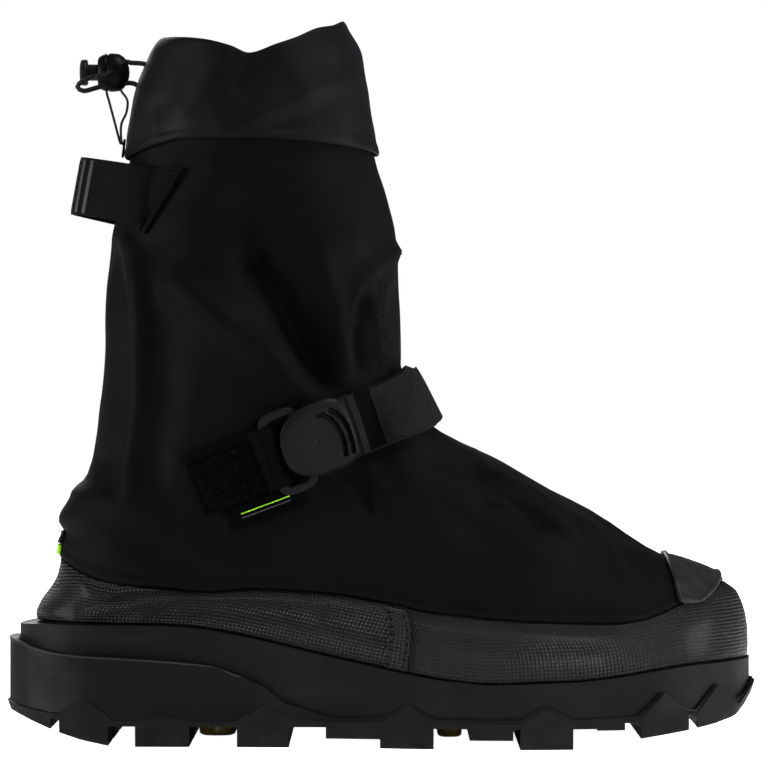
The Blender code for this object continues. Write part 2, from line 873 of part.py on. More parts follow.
def build_strap_tail(parts):
    half = STRAP_WIDTH / 2
    rear = TAIL_FRONT - TAIL_LENGTH
    sheet_on_side("strap_tail", (rear, TAIL_FRONT), (-half, half), STRAP, CLEARANCE, WEBBING, parts)
    pile_span = (rear + PILE_REAR, TAIL_FRONT - PILE_FRONT)
    pile_rows = (PILE_EDGES[0] - half, half - PILE_EDGES[1])
    sheet_on_side("strap_pile", pile_span, pile_rows, PILE, CLEARANCE * 2 + STRAP, WEBBING, parts)
    label_rows = (-half - LABEL_DROP, -half - 3 * CLEARANCE)
    sheet_on_side("side_label", LABEL_SPAN, label_rows, LABEL, CLEARANCE, BLACK_FABRIC, parts)


def buckle_matrix(lift):
    """Frame on the strap: X along it, Y across it, Z away from the upper."""
    centre, normal = side_point(*strap_place(0.0, 0.0), lift)
    ahead = side_point(*strap_place(0.002, 0.0), lift)[0] - centre
    along = (ahead - normal * ahead.dot(normal)).normalized()
    across = normal.cross(along)
    return Matrix.Translation(centre) @ Matrix((along, across, normal)).transposed().to_4x4()


def outline_prism(name, outline, thickness, bevel, matrix, look, collection):
    form = bmesh.new()
    face = form.faces.new([form.verts.new((x, y, 0.0)) for x, y in outline])
    raised = bmesh.ops.extrude_face_region(form, geom=[face])["geom"]
    bmesh.ops.translate(
        form, verts=[item for item in raised if isinstance(item, bmesh.types.BMVert)], vec=(0.0, 0.0, thickness)
    )
    if bevel:
        rims = [e for e in form.edges if all(abs(v.co.z - thickness) < 1e-7 for v in e.verts)]
        bmesh.ops.bevel(
            form, geom=rims, offset=bevel, segments=2, profile=0.5, affect="EDGES", material=-1
        )
    bmesh.ops.transform(form, matrix=matrix, verts=form.verts)
    return mesh_from(name, form, look, collection)


def rounded_box(low, high, radius, steps=3):
    """Outline of a rectangle with round corners."""
    outline = []
    for turn, (x, y) in enumerate(((high[0], high[1]), (low[0], high[1]), (low[0], low[1]), (high[0], low[1]))):
        middle_x = x - math.copysign(radius, x - (low[0] + high[0]) / 2)
        middle_y = y - math.copysign(radius, y - (low[1] + high[1]) / 2)
        for n in range(steps + 1):
            angle = math.pi / 2 * (turn + n / steps)
            outline.append((middle_x + radius * math.cos(angle), middle_y + radius * math.sin(angle)))
    return outline


def lever_outline():
    """Round towards the tail, nearly straight towards the instep."""
    rear = LEVER_LENGTH * 0.55
    front = LEVER_LENGTH * 0.45
    outline = []
    for n in range(24):
        angle = 2 * math.pi * n / 24
        c, s = math.cos(angle), math.sin(angle)
        power = 0.40 if c > 0 else 0.92
        x = (front if c > 0 else rear) * math.copysign(abs(c) ** power, c)
        y = LEVER_WIDTH / 2 * math.copysign(abs(s) ** 0.80, s)
        outline.append((x, y))
    return outline


def build_buckle(parts, cutters):
    matrix = buckle_matrix(0.0)
    lift = STRAP_LIFT + STRAP
    low = (FRAME_REAR, -FRAME_WIDTH / 2)
    high = (FRAME_REAR + FRAME_LENGTH, FRAME_WIDTH / 2)
    place = matrix @ Matrix.Translation((0.0, 0.0, lift))
    frame = outline_prism(
        "buckle_frame", rounded_box(low, high, 0.004), FRAME, 0.0006, place, GREY_PLASTIC, parts
    )
    inner_low = (low[0] + FRAME_BAR, low[1] + FRAME_BAR)
    inner_high = (high[0] - FRAME_BAR, high[1] - FRAME_BAR)
    window_place = matrix @ Matrix.Translation((0.0, 0.0, lift - FRAME))
    window = outline_prism(
        "frame_window", rounded_box(inner_low, inner_high, 0.001), 3 * FRAME, 0.0, window_place, None, cutters
    )
    window.hide_render = True
    window.display_type = "WIRE"
    cut_away(frame, window)
    lever_place = matrix @ Matrix.Translation((0.0, 0.0, lift + FRAME + CLEARANCE))
    outline_prism("buckle_lever", lever_outline(), LEVER, 0.0022, lever_place, GREY_PLASTIC, parts)


def build_pull_loop(parts):
    level = 0.755 * HEIGHT
    lift = LOOP_LIFT + LOOP / 2
    back = back_x(level)
    side_x = back + 0.030

    def side_y(x):
        return half_width(x, level)

    start_y = side_y(side_x) + lift
    reach = back - LOOP_BACK
    quarter = (
        (side_x, -start_y),
        (side_x - 0.012, -side_y(side_x - 0.012) - lift),
        (back + 0.006, -start_y * 0.74),
        (back - 0.008, -start_y * 0.46),
        (reach + 0.002, -start_y * 0.20),
        (reach, 0.0),
    )
    route = list(quarter) + [(x, -y) for x, y in reversed(quarter[:-1])]
    top, bottom = [], []
    for n, (x, y) in enumerate(route):
        before = route[max(0, n - 1)]
        after = route[min(len(route) - 1, n + 1)]
        along = Vector((after[0] - before[0], after[1] - before[1], 0.0)).normalized()
        out = Vector((along.y, -along.x, 0.0)) * (LOOP / 2)
        lean = (back - x) / LOOP_BACK * 0.004
        outer_row, inner_row = [], []
        for share in (-0.5, 0.0, 0.5):
            centre = Vector((x + share * LOOP_WIDTH * 0.18, y, level + lean + share * LOOP_WIDTH))
            if n in (0, 1, len(route) - 2, len(route) - 1):
                width = half_width(centre.x, centre.z) + lift
                centre.y = math.copysign(width, y)
            outer_row.append(centre - out)
            inner_row.append(centre + out)
        top.append(outer_row)
        bottom.append(inner_row)
    slab("pull_loop", top, bottom, WEBBING, parts)


def lock_centre():
    level = 0.925 * HEIGHT
    return Vector((back_x(level) - LOCK_OFF, LOCK_SIDE, level))


def build_cord_lock(parts, cutters):
    centre = lock_centre()
    form = bmesh.new()
    bmesh.ops.create_uvsphere(form, u_segments=16, v_segments=10, radius=0.5)
    bmesh.ops.transform(
        form, matrix=Matrix.Translation(centre) @ Matrix.Diagonal((*LOCK_SIZE, 1.0)), verts=form.verts
    )
    body = mesh_from("lock_body", form, GREY_PLASTIC, parts)
    turned = Matrix.Rotation(math.pi / 2, 4, "Y")

    def round_bar(form, start_x, end_x, radius):
        bmesh.ops.create_cone(
            form,
            cap_ends=True,
            segments=20,
            radius1=radius,
            radius2=radius,
            depth=end_x - start_x,
            matrix=Matrix.Translation(((start_x + end_x) / 2, centre.y, centre.z)) @ turned,
        )

    face = centre.x - LOCK_SIZE[0] / 2
    bore_end = centre.x + 0.002
    form = bmesh.new()
    round_bar(form, face - 0.004, bore_end, BORE_RADIUS)
    bore = mesh_from("lock_bore", form, None, cutters)
    bore.hide_render = True
    bore.display_type = "WIRE"
    cut_away(body, bore)

    disc_end = face - BUTTON_TRAVEL - 0.0004
    form = bmesh.new()
    round_bar(form, disc_end - 0.0006, bore_end - BUTTON_TRAVEL - CLEARANCE, STEM_RADIUS)
    stem = mesh_from("button_stem", form, None, cutters)
    stem.hide_render = True
    stem.display_type = "WIRE"
    form = bmesh.new()
    round_bar(form, disc_end - BUTTON, disc_end, BUTTON_RADIUS)
    button = mesh_from("lock_button", form, LIGHT_PLASTIC, parts)
    joined = button.modifiers.new("stem", "BOOLEAN")
    joined.operation = "UNION"
    joined.object = stem


def tube(name, points, diameter, look, collection):
    """Cord through points chosen by hand."""
    curve = bpy.data.curves.new(name, "CURVE")
    curve.dimensions = "3D"
    curve.bevel_depth = diameter / 2
    curve.bevel_resolution = 2
    curve.use_fill_caps = True
    spline = curve.splines.new("POLY")
    fine = smooth_route(points, diameter * 2)
    spline.points.add(len(fine) - 1)
    for place, point in zip(spline.points, fine):
        place.co = (*point, 1.0)
    return add_object(name, curve, look, collection)


def smooth_route(points, spacing):
    """Points read from a smooth curve through a route's own points."""
    places = [Vector(point) for point in points]
    padded = [places[0] * 2 - places[1]] + places + [places[-1] * 2 - places[-2]]
    fine = [places[0]]
    for a, b, c, d in zip(padded, padded[1:], padded[2:], padded[3:]):
        count = max(1, round((c - b).length / spacing))
        for n in range(1, count + 1):
            t = n / count
            part = 2 * b + (c - a) * t + (2 * a - 5 * b + 4 * c - d) * t**2 + (3 * b - a - 3 * c + d) * t**3
            fine.append(part / 2)
    return fine


def build_cords(parts):
    # Routes from the lock's middle: back and forth, across, up
    centre = lock_centre()
    routes = {
        "drawcord_upper": (CORD, ((0.0070, -0.0005, 0.0036), (0.0106, -0.0004, 0.0041), (0.0134, 0.0, 0.0038))),
        "drawcord_lower": (CORD, ((0.0068, -0.0005, -0.0042), (0.0082, -0.0005, -0.0047), (0.0098, 0.0, -0.0054))),
        "drawcord_tail": (
            CORD,
            (
                (-0.0042, -0.0066, -0.0020),
                (-0.0090, -0.0084, -0.0008),
                (-0.0146, -0.0086, -0.0016),
                (-0.0172, -0.0086, -0.0058),
                (-0.0146, -0.0084, -0.0096),
                (-0.0090, -0.0072, -0.0088),
                (-0.0040, -0.0050, -0.0066),
            ),
        ),
        "keeper_rear": (
            KEEPER_CORD,
            (
                (-0.0030, -0.0012, -0.0086),
                (-0.0020, -0.0018, -0.0125),
                (0.0004, -0.0016, -0.0215),
                (0.0026, -0.0006, -0.0305),
            ),
        ),
        "keeper_front": (
            KEEPER_CORD,
            (
                (0.0034, -0.0010, -0.0084),
                (0.0062, -0.0030, -0.0125),
                (0.0058, -0.0040, -0.0180),
                (0.0034, -0.0036, -0.0230),
                (0.0032, -0.0020, -0.0302),
            ),
        ),
    }
    for name, (diameter, offsets) in routes.items():
        tube(name, [centre + Vector(offset) for offset in offsets], diameter, WEBBING, parts)


def build_keeper_tab(parts):
    """Small tab at the foot of the cuff that the keeper cord is sewn to."""
    level = HEIGHT * CUFF_BOTTOM
    lift = CLEARANCE * 2 + CUFF_PROUD + CUFF_ROLL
    angles = [-0.02 + 0.10 * n / 2 for n in range(3)]
    rows = [level - 0.0035 + 0.008 * n / 2 for n in range(3)]
    top = [cut_of_upper(lambda x, z=z: z, angles, lift + 0.0009) for z in rows]
    bottom = [cut_of_upper(lambda x, z=z: z, angles, lift) for z in rows]
    slab("keeper_tab", top, bottom, WEBBING, parts)


def build_grip_pads(parts):
    # name, x as a share of LENGTH, how far it stays above the ground
    for name, groove, rest in (("grip_pad_heel", GROOVES[2], 0.0012), ("grip_pad_forefoot", GROOVES[5], 0.0006)):
        middle = LENGTH * (groove[0] + groove[1]) / 2
        half = LENGTH * (groove[1] - groove[0]) / 2 - 0.0022
        outline = rounded_box((-half, -PAD_WIDTH / 2), (half, PAD_WIDTH / 2), half * 0.8)
        depth = LUG_DEPTH - CLEARANCE - rest
        place = Matrix.Translation((middle, 0.0, LUG_DEPTH - CLEARANCE)) @ Matrix.Rotation(math.pi, 4, "X")
        outline_prism(name, outline, depth, 0.0015, place, AMBER, parts)


def main():
    for thing in list(bpy.data.objects):
        bpy.data.objects.remove(thing, do_unlink=True)
    parts = bpy.data.collections.new("winter_overshoe")
    cutters = bpy.data.collections.new("cutters")
    for collection in (parts, cutters):
        bpy.context.scene.collection.children.link(collection)
    build_outsole(parts, cutters)
    build_midsole(parts)
    build_insole(parts)
    build_upper(parts)
    build_foxing(parts)
    build_cuff(parts)
    build_toe_patch(parts)
    build_heel_tab(parts)
    build_instep_strap(parts)
    build_strap_tail(parts)
    build_buckle(parts, cutters)
    build_pull_loop(parts)
    build_cord_lock(parts, cutters)
    build_cords(parts)
    build_keeper_tab(parts)
    build_grip_pads(parts)


main()
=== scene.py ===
"""Looks of a winter overshoe, right shoe: cloth, foxing, cuff, straps, buckle, cord lock and sole."""

import math

import bmesh
import bpy
from bpy.props import FloatProperty, FloatVectorProperty, PointerProperty
from mathutils import Matrix, Vector, noise
from mathutils.bvhtree import BVHTree


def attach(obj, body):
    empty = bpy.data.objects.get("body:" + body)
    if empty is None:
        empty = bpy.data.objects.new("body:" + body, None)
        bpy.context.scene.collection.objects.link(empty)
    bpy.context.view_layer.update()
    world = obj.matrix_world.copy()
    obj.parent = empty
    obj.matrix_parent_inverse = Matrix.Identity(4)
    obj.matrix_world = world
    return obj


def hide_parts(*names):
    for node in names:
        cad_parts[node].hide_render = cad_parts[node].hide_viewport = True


bl_info = {
    "name": "Winter overshoe",
    "version": (1, 0, 0),
    "blender": (4, 5, 0),
    "location": "3D View > Sidebar > Overshoe",
    "description": "Cloth, rubber and fittings of a winter overshoe on its packed frame",
    "category": "Object",
}

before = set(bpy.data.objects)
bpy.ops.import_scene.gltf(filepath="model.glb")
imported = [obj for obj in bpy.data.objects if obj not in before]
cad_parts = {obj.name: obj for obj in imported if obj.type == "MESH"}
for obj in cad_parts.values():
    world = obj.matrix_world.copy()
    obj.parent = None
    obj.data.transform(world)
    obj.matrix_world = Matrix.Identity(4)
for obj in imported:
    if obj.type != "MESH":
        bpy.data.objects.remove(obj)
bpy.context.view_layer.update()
MM = 0.001

# Sizes of the shoe, as its solids have them
LENGTH = 0.330
HEIGHT = 0.3155
CLEARANCE = 0.0003
FADE_START = 0.30
FADE_LENGTH = 0.25
BALL_WIDTH = 0.120
SHAFT_WIDTH = 0.104
LUG_DEPTH = 0.0088
LUG_LEAST = 0.0015
PLATE_FOLLOW = 0.4
HEEL_ROUND = 0.048
TOE_ROUND = 0.075
RIB_RISE = 0.0022
RIB_STEP = 0.001
TOP_LEDGE_HEEL = 0.0066
TOP_LEDGE_TOE = 0.0026
CUP_DEPTH = 0.008
WALL = 0.0018
FOXING = 0.0010
HEM_STEP = 0.0008
CUFF_WALL = 0.0012
CUFF_LAP = 0.011
CUFF_PROUD = 0.0012
CUFF_ROLL = 0.0012
CUFF_BOTTOM = 0.817
STRAP_WIDTH = 0.0275
STRAP = 0.0016
STRAP_LIFT = 0.0009
STRAP_SLOPE = 0.375
STRAP_LEVEL = 0.142
BUCKLE_X = -0.0275
FRAME_WIDTH = 0.037
FRAME_LENGTH = 0.020
FRAME_BAR = 0.0040
FRAME = 0.0022
FRAME_MIDDLE = -0.015
LEVER_WIDTH = 0.0325
LEVER_LENGTH = 0.033
LEVER = 0.0045
LOOP_WIDTH = 0.025
LOOP = 0.0014
LOOP_BACK = 0.020
LOOP_LIFT = 0.0010
LOCK_SIZE = (0.014, 0.013, 0.017)
LOCK_LEVEL = 0.925 * HEIGHT
LOCK_OFF = 0.0138
LOCK_SIDE = -0.004
CORD = 0.0022
KEEPER_CORD = 0.0011
INSTEP_FOOT = 0.139 * HEIGHT
SHAFT_FOOT = 0.520 * HEIGHT
ARCH_POWER = 2.6

# Sizes of the dressed pieces, in metres where nothing else is said; places on the strap are measured along it
# from the buckle's middle
HEM_STITCHES = (0.0030, 0.0046)
HEM_GROOVE = 0.00022
HEM_ROWS = (0.0002, 0.0007, 0.0013, 0.0019, 0.0025, 0.0030, 0.0035, 0.0041, 0.0046, 0.0051, 0.0058)
STITCH_GAP = 0.45  # share of a stitch's length
SEAM_ROWS = (0.0, -0.0024)
TAIL_SPAN = (-0.0570, -0.0100)
PILE_SPAN = (-0.0540, -0.0272)
PILE = 0.0014
BINDING = 0.0007
BINDING_FRONT = -0.0250
TURN = 0.0012
LABEL_SPAN = (-0.0485, -0.0135)
LABEL_HEIGHT = (-0.0110, -0.0009)
LABEL = 0.0010
STRIPE_SPAN = (-0.0420, -0.0200)
STRIPE = 0.0002
LABEL_EDGE = 0.0011
INSTEP_START = -0.0085
INSTEP_END = -0.24  # share of LENGTH
OUTER_LAYER = 2.1 * STRAP
LAYER_START = 0.0245
LAYER_STAND = 0.0022
LAYER_SEAMS = (0.022, 0.040)  # angles round the strap's cut
PLEAT_SPAN = (0.0118, 0.0188)
PLEAT = 0.0012
# Dark sheet beside the pleats, which paints the strap's shadow
SHADOW_BAND_SPAN = (0.0180, 0.0262)
SHADOW_BAND = 0.0004
CLOTH_ROW = 0.0026
THREAD_LIFT = 0.0001
PATCH = 0.0008
PATCH_RIM = 0.00091
PATCH_LIFT = 0.0004
PATCH_BACKING = 0.0011
PATCH_SHARE = 0.82  # share of the toe's width
LOOP_LEVEL = 0.755 * HEIGHT
LOOP_STEP = 0.0012
LOOP_ROWS = (-0.5, -0.485, -0.46, -0.40, -0.2, 0.0, 0.2, 0.40, 0.46, 0.485, 0.5)  # shares of its width
LOOP_SIDE = 0.030
LOOP_PRESS = 0.012
LOOP_END = 0.022
LOOP_LEAN = 0.004
LOOP_SLANT = 0.0132
LOOP_SHORT = 0.0026
LOOP_END_RISE = 0.0028
LIP = 0.0009
LIP_TURN = (33, 327)  # degrees round the heel, from straight ahead
LIP_CENTRE = -0.110
TAB_LEVEL = 0.255 * HEIGHT
LIME_TAB_SPAN = (0.0, 0.0040)
TAB = 0.0010
GREY_TAB_SPAN = (0.0048, 0.0105)
GREY_TAB = 0.0012
KEEPER_TAB_SPAN = (-0.0035, 0.0045)
KEEPER_TAB = 0.0009
# Rows of the webbing's form across the strap, as shares of half its width
ACROSS = (-1.0, -0.97, -0.92, -0.8, -0.5, -0.2, 0.2, 0.5, 0.8, 0.92, 0.97, 1.0)
CUFF_PROFILE = (
    # share of the cuff's height, how far it stands out as shares of CUFF_PROUD and CUFF_ROLL
    (0.0, 1.0, 0.2), (0.012, 1.0, 0.75), (0.035, 1.0, 1.0), (0.06, 1.0, 1.0), (0.10, 1.0, 0.7),
    (0.20, 1.0, 0.8), (0.45, 1.0, 0.4), (0.75, 1.0, 0.0), (0.97, 0.9, 0.0), (1.0, 0.4, 0.0),
)

# Places where the cloth is held flat; each fade runs from its first value to its second
STRAP_FADE = (0.0142, 0.0215)
STRAP_END_FADE = (-0.088, -0.096)
LABEL_PLACE = (-0.050, 0.104)
LABEL_FADE = (0.022, 0.030)
LOOP_PLACE = 0.238
LOOP_FADE = (0.016, 0.024)
LOOP_FRONT_FADE = (-0.084, -0.070)
PATCH_FADE = (0.352, 0.372)
PATCH_FOOT_FADE = (0.17, 0.20)
TAB_PLACE = (-0.141, 0.086)
TAB_FADE = (0.009, 0.014)
CUFF_FADE = (0.250, 0.262)

# Heel and instep lines: height as a share of HEIGHT, x as a share of LENGTH
BACK_LINE = (
    # height, x
    (0.130, -0.455), (0.158, -0.459), (0.192, -0.448), (0.233, -0.433), (0.270, -0.429), (0.284, -0.424),
    (0.302, -0.432), (0.336, -0.415), (0.370, -0.393), (0.428, -0.382), (0.520, -0.372), (0.600, -0.370),
    (0.694, -0.361), (0.745, -0.349), (0.802, -0.337), (0.887, -0.327), (0.953, -0.304), (1.000, -0.275),
)
FRONT_LINE = (
    # height, x
    (0.060, 0.484), (0.111, 0.491), (0.139, 0.489), (0.170, 0.485), (0.200, 0.475), (0.211, 0.466),
    (0.227, 0.446), (0.246, 0.400), (0.256, 0.365), (0.275, 0.334), (0.304, 0.294), (0.345, 0.222),
    (0.391, 0.146), (0.412, 0.103), (0.434, 0.066), (0.488, 0.040), (0.520, 0.024), (0.580, 0.024),
    (0.702, 0.017), (0.759, 0.004), (0.804, -0.010), (0.907, -0.026), (0.951, -0.031), (1.000, -0.053),
)
# Top edge of the sole, hem of the upper, bottom of the tread and heel cup, with x as a share of LENGTH and
# height as a share of HEIGHT
SOLE_LINE = (
    # x, height
    (-0.500, 0.158), (-0.440, 0.163), (-0.310, 0.1635), (-0.254, 0.1615), (-0.210, 0.1555), (-0.158, 0.144),
    (-0.060, 0.120), (0.002, 0.107), (0.048, 0.097), (0.087, 0.090), (0.139, 0.086), (0.200, 0.088),
    (0.255, 0.090), (0.310, 0.096), (0.362, 0.104), (0.411, 0.109), (0.500, 0.111),
)
HEM_LINE = (
    # x, height
    (-0.460, 0.258), (-0.432, 0.252), (-0.390, 0.232), (-0.348, 0.221), (-0.288, 0.216), (-0.227, 0.211),
    (-0.167, 0.215), (-0.082, 0.211), (-0.003, 0.200), (0.048, 0.188), (0.100, 0.181), (0.179, 0.174),
    (0.300, 0.170), (0.336, 0.174), (0.370, 0.185), (0.400, 0.198), (0.439, 0.214), (0.500, 0.226),
)
TREAD_LINE = (
    # x, height
    (-0.500, 0.041), (-0.430, 0.021), (-0.388, 0.0086), (-0.340, 0.0), (0.256, 0.0), (0.333, 0.0133),
    (0.400, 0.022), (0.464, 0.035), (0.500, 0.066),
)
CUP_LINE = (
    # x, height
    (-0.500, 0.140), (-0.460, 0.131), (-0.420, 0.124), (-0.340, 0.119), (-0.280, 0.115), (-0.230, 0.110),
    (-0.194, 0.099), (-0.158, 0.084), (-0.138, 0.067), (-0.117, 0.049), (-0.100, 0.030), (0.500, 0.030),
)
PLAN = (
    # x, half width, bend
    (-0.500, 0.79, 0.000), (-0.240, 0.79, -0.003), (-0.090, 0.80, -0.008), (0.060, 0.90, -0.010),
    (0.180, 0.99, -0.005), (0.300, 1.00, 0.006), (0.410, 0.98, 0.017), (0.500, 0.97, 0.028),
)
SHAFT = (
    # height, half width
    (0.10, 0.30), (0.30, 0.68), (0.41, 0.88), (0.48, 0.96), (0.54, 1.00), (0.64, 1.00), (0.75, 0.98),
    (0.82, 0.94), (0.90, 0.92), (0.96, 0.88), (1.00, 0.85),
)
CUFF_TOP = (
    # x, height
    (-0.300, 0.972), (-0.285, 0.968), (-0.232, 0.960), (-0.195, 0.949), (-0.173, 0.940), (-0.135, 0.953),
    (-0.113, 0.962), (-0.085, 0.977), (-0.067, 0.983), (-0.047, 0.998), (-0.035, 0.990),
)
CUFF_HEM = (
    # x, height
    (-0.345, 0.803), (-0.300, 0.815), (-0.258, 0.8235), (-0.170, 0.8235), (-0.080, 0.818), (-0.020, 0.811),
    (0.000, 0.806),
)
LEVELS = (
    # heel, toe, wave
    (0.268, 0.233, 0.90), (0.279, 0.243, 0.80), (0.296, 0.257, 0.65), (0.316, 0.281, 0.45),
    (0.342, 0.322, 0.25), (0.374, 0.368, 0.0), (0.412, 0.409, 0.0), (0.450, 0.447, 0.0),
    (0.485, 0.485, 0.0), (0.526, 0.526, 0.0), (0.580, 0.580, 0.0), (0.634, 0.634, 0.0),
    (0.697, 0.697, 0.0), (0.754, 0.754, 0.0), (0.802, 0.802, 0.0),
)
LUGS = (
    # start, end, rib
    (-0.497, -0.432, 0.040), (-0.420, -0.355, 0.066), (-0.320, -0.250, 0.044), (-0.188, -0.121, 0.056),
    (-0.003, 0.066, 0.056), (0.177, 0.245, 0.055), (0.333, 0.398, 0.074), (0.410, 0.470, 0.082),
)
PATCH_EDGES = (
    # side, rear, front
    (0.00, 0.368, 0.456), (0.40, 0.3705, 0.4535), (0.60, 0.3730, 0.4490), (0.75, 0.3755, 0.4430),
    (0.85, 0.3770, 0.4360), (0.93, 0.3785, 0.4270), (0.97, 0.3800, 0.4190), (0.99, 0.3830, 0.4110),
    (1.00, 0.3890, 0.4000),
)

# Folds of the cloth, in millimetres: side of the shoe, half width, rise, then the crest as x and z in turn
FOLDS = (
    # side, half width, rise, crest
    ("outer", 7.5, 6.4, (-88, 197, -64, 180, -42, 165, -31, 154)),
    ("outer", 7.5, -8.5, (-54, 205, -43, 190, -33, 174, -26, 160, -22, 150)),
    ("outer", 16.0, -7.0, (-56, 222, -40, 194, -29, 170)),
    ("outer", 20.0, -2.4, (-50, 246, -50, 226)),
    ("outer", 5.0, 4.0, (-26, 207, -20, 188, -18, 174, -18, 160)),
    ("outer", 4.4, 4.2, (-110, 219, -107, 205, -104, 182, -104, 149, -109, 115)),
    ("outer", 4.5, -2.2, (-117, 212, -113, 190, -111, 160, -112, 135, -117, 108)),
    ("outer", 9.0, -2.6, (-95, 205, -92, 180, -93, 150, -97, 118)),
    ("outer", 3.2, 2.8, (5, 213, -6, 203, -12, 189, -14, 175, -14, 164)),
    ("outer", 2.6, -4.0, (-7, 195, -10, 184, -10, 173, -8, 162)),
    ("outer", 2.3, 3.0, (-6, 193, -3, 185, -1, 176, -1, 167)),
    ("outer", 2.2, 1.6, (-19, 187, -19, 177, -17, 168)),
    ("outer", 3.0, -1.4, (6, 196, 4, 182, 3, 168)),
    ("outer", 6.0, -1.6, (-92, 240, -78, 222, -60, 212)),
    ("outer", 8.0, 1.2, (-70, 243, -58, 228, -44, 219)),
    ("outer", 4.5, -3.2, (-14, 121, -9, 112, -5, 103)),
    ("outer", 4.0, 2.4, (-6, 118, -1, 109, 2, 100)),
    ("outer", 4.2, -4.4, (22, 125, 34, 122, 44, 117, 48, 110, 45, 103)),
    ("outer", 3.6, 2.6, (49, 117, 54, 113, 55, 108, 51, 103)),
    ("outer", 3.8, -3.6, (57, 108, 61, 101, 68, 94)),
    ("outer", 3.6, 3.0, (62, 109, 68, 104, 75, 97, 82, 89)),
    ("outer", 5.0, 3.0, (28, 106, 40, 101, 52, 93, 66, 84)),
    ("outer", 3.6, 3.6, (90, 91, 96, 84, 102, 73)),
    ("outer", 3.6, -3.4, (98, 92, 105, 85, 113, 76)),
    ("outer", 3.6, 3.0, (108, 84, 115, 78, 122, 71)),
    ("outer", 8.0, 2.4, (14, 112, 22, 102, 26, 90)),
    ("outer", 7.0, 1.4, (-30, 96, 0, 90, 34, 82)),
    ("outer", 8.0, -1.2, (-66, 108, -40, 92, -8, 78)),
    ("outer", 7.0, 1.4, (-112, 104, -90, 92, -70, 84)),
    ("outer", 5.0, -1.3, (-124, 100, -112, 92, -98, 84)),
    ("inner", 7.0, 2.2, (-88, 188, -66, 176, -44, 168, -34, 160)),
    ("inner", 8.0, -2.8, (-60, 205, -46, 190, -36, 178)),
    ("inner", 4.5, 2.0, (-108, 214, -104, 190, -105, 160, -110, 122)),
    ("inner", 4.0, -1.4, (-115, 205, -111, 180, -113, 145)),
    ("inner", 3.6, 2.0, (2, 210, -9, 196, -13, 180, -12, 167)),
    ("inner", 3.2, -1.6, (6, 200, 0, 186, -2, 172)),
    ("inner", 4.0, -1.9, (30, 122, 38, 112, 44, 102)),
    ("inner", 4.4, 1.7, (38, 125, 46, 114, 52, 100)),
    ("inner", 4.0, -1.4, (58, 110, 66, 98, 72, 88)),
    ("inner", 5.0, 1.2, (84, 98, 98, 86, 110, 76)),
    ("inner", 8.0, -1.3, (-60, 104, -34, 92, -4, 80)),
    ("both", 3.2, -1.5, (-124, 122, -118, 121)),
    ("both", 3.6, 1.4, (-134, 108, -126, 104, -118, 104)),
)
CUFF_FOLDS = (
    # side, half width, rise, crest
    ("outer", 3.0, 0.7, (-100, 279, -98, 268, -97, 256)),
    ("outer", 2.8, -0.7, (-94, 275, -93, 266, -92, 256)),
    ("outer", 5.5, -2.2, (-57, 303, -56, 292, -60, 282)),
    ("outer", 5.5, 1.6, (-16, 286, -36, 278, -50, 271, -66, 263)),
    ("outer", 5.0, -0.9, (-28, 272, -44, 266, -60, 258)),
    ("outer", 6.0, 0.9, (-46, 305, -38, 292, -35, 280)),
    ("outer", 6.0, 0.9, (-66, 300, -74, 285, -84, 272)),
    ("outer", 5.0, -0.8, (-80, 300, -86, 284, -95, 272)),
    ("outer", 5.0, -0.5, (-14, 306, -13, 284, -12, 262)),
    ("inner", 4.0, -1.8, (-60, 297, -62, 284)),
    ("inner", 4.4, 1.4, (-30, 292, -46, 280, -66, 270)),
    ("inner", 2.6, 1.0, (-98, 276, -96, 258)),
    ("inner", 3.4, -1.2, (-82, 292, -84, 276)),
    ("inner", 4.0, 1.1, (-18, 300, -20, 276)),
)
FOXING_FOLDS = (
    # side, half width, rise, crest
    ("outer", 3.6, 2.8, (-127, 57, -105, 62, -78, 66, -31, 65, -4, 62)),
    ("outer", 4.2, -1.5, (-96, 57, -70, 57, -42, 56, -22, 53, 2, 47)),
    ("outer", 4.0, -1.0, (-122, 69, -104, 66)),
    ("outer", 4.0, 1.3, (-33, 66, -29, 56)),
    ("both", 7.0, 3.0, (-155, 50, -147, 57)),
    ("both", 12.0, 1.4, (150, 62, 160, 46)),
    ("outer", 4.0, 0.8, (-138, 74, -128, 68, -118, 60)),
    ("outer", 5.0, 0.8, (20, 52, 60, 49, 100, 47)),
    ("outer", 3.0, -0.4, (30, 42, 70, 39, 110, 41)),
    ("inner", 3.4, 1.0, (-112, 64, -70, 65, -20, 62)),
    ("inner", 5.0, 0.8, (20, 52, 60, 49, 100, 47)),
)

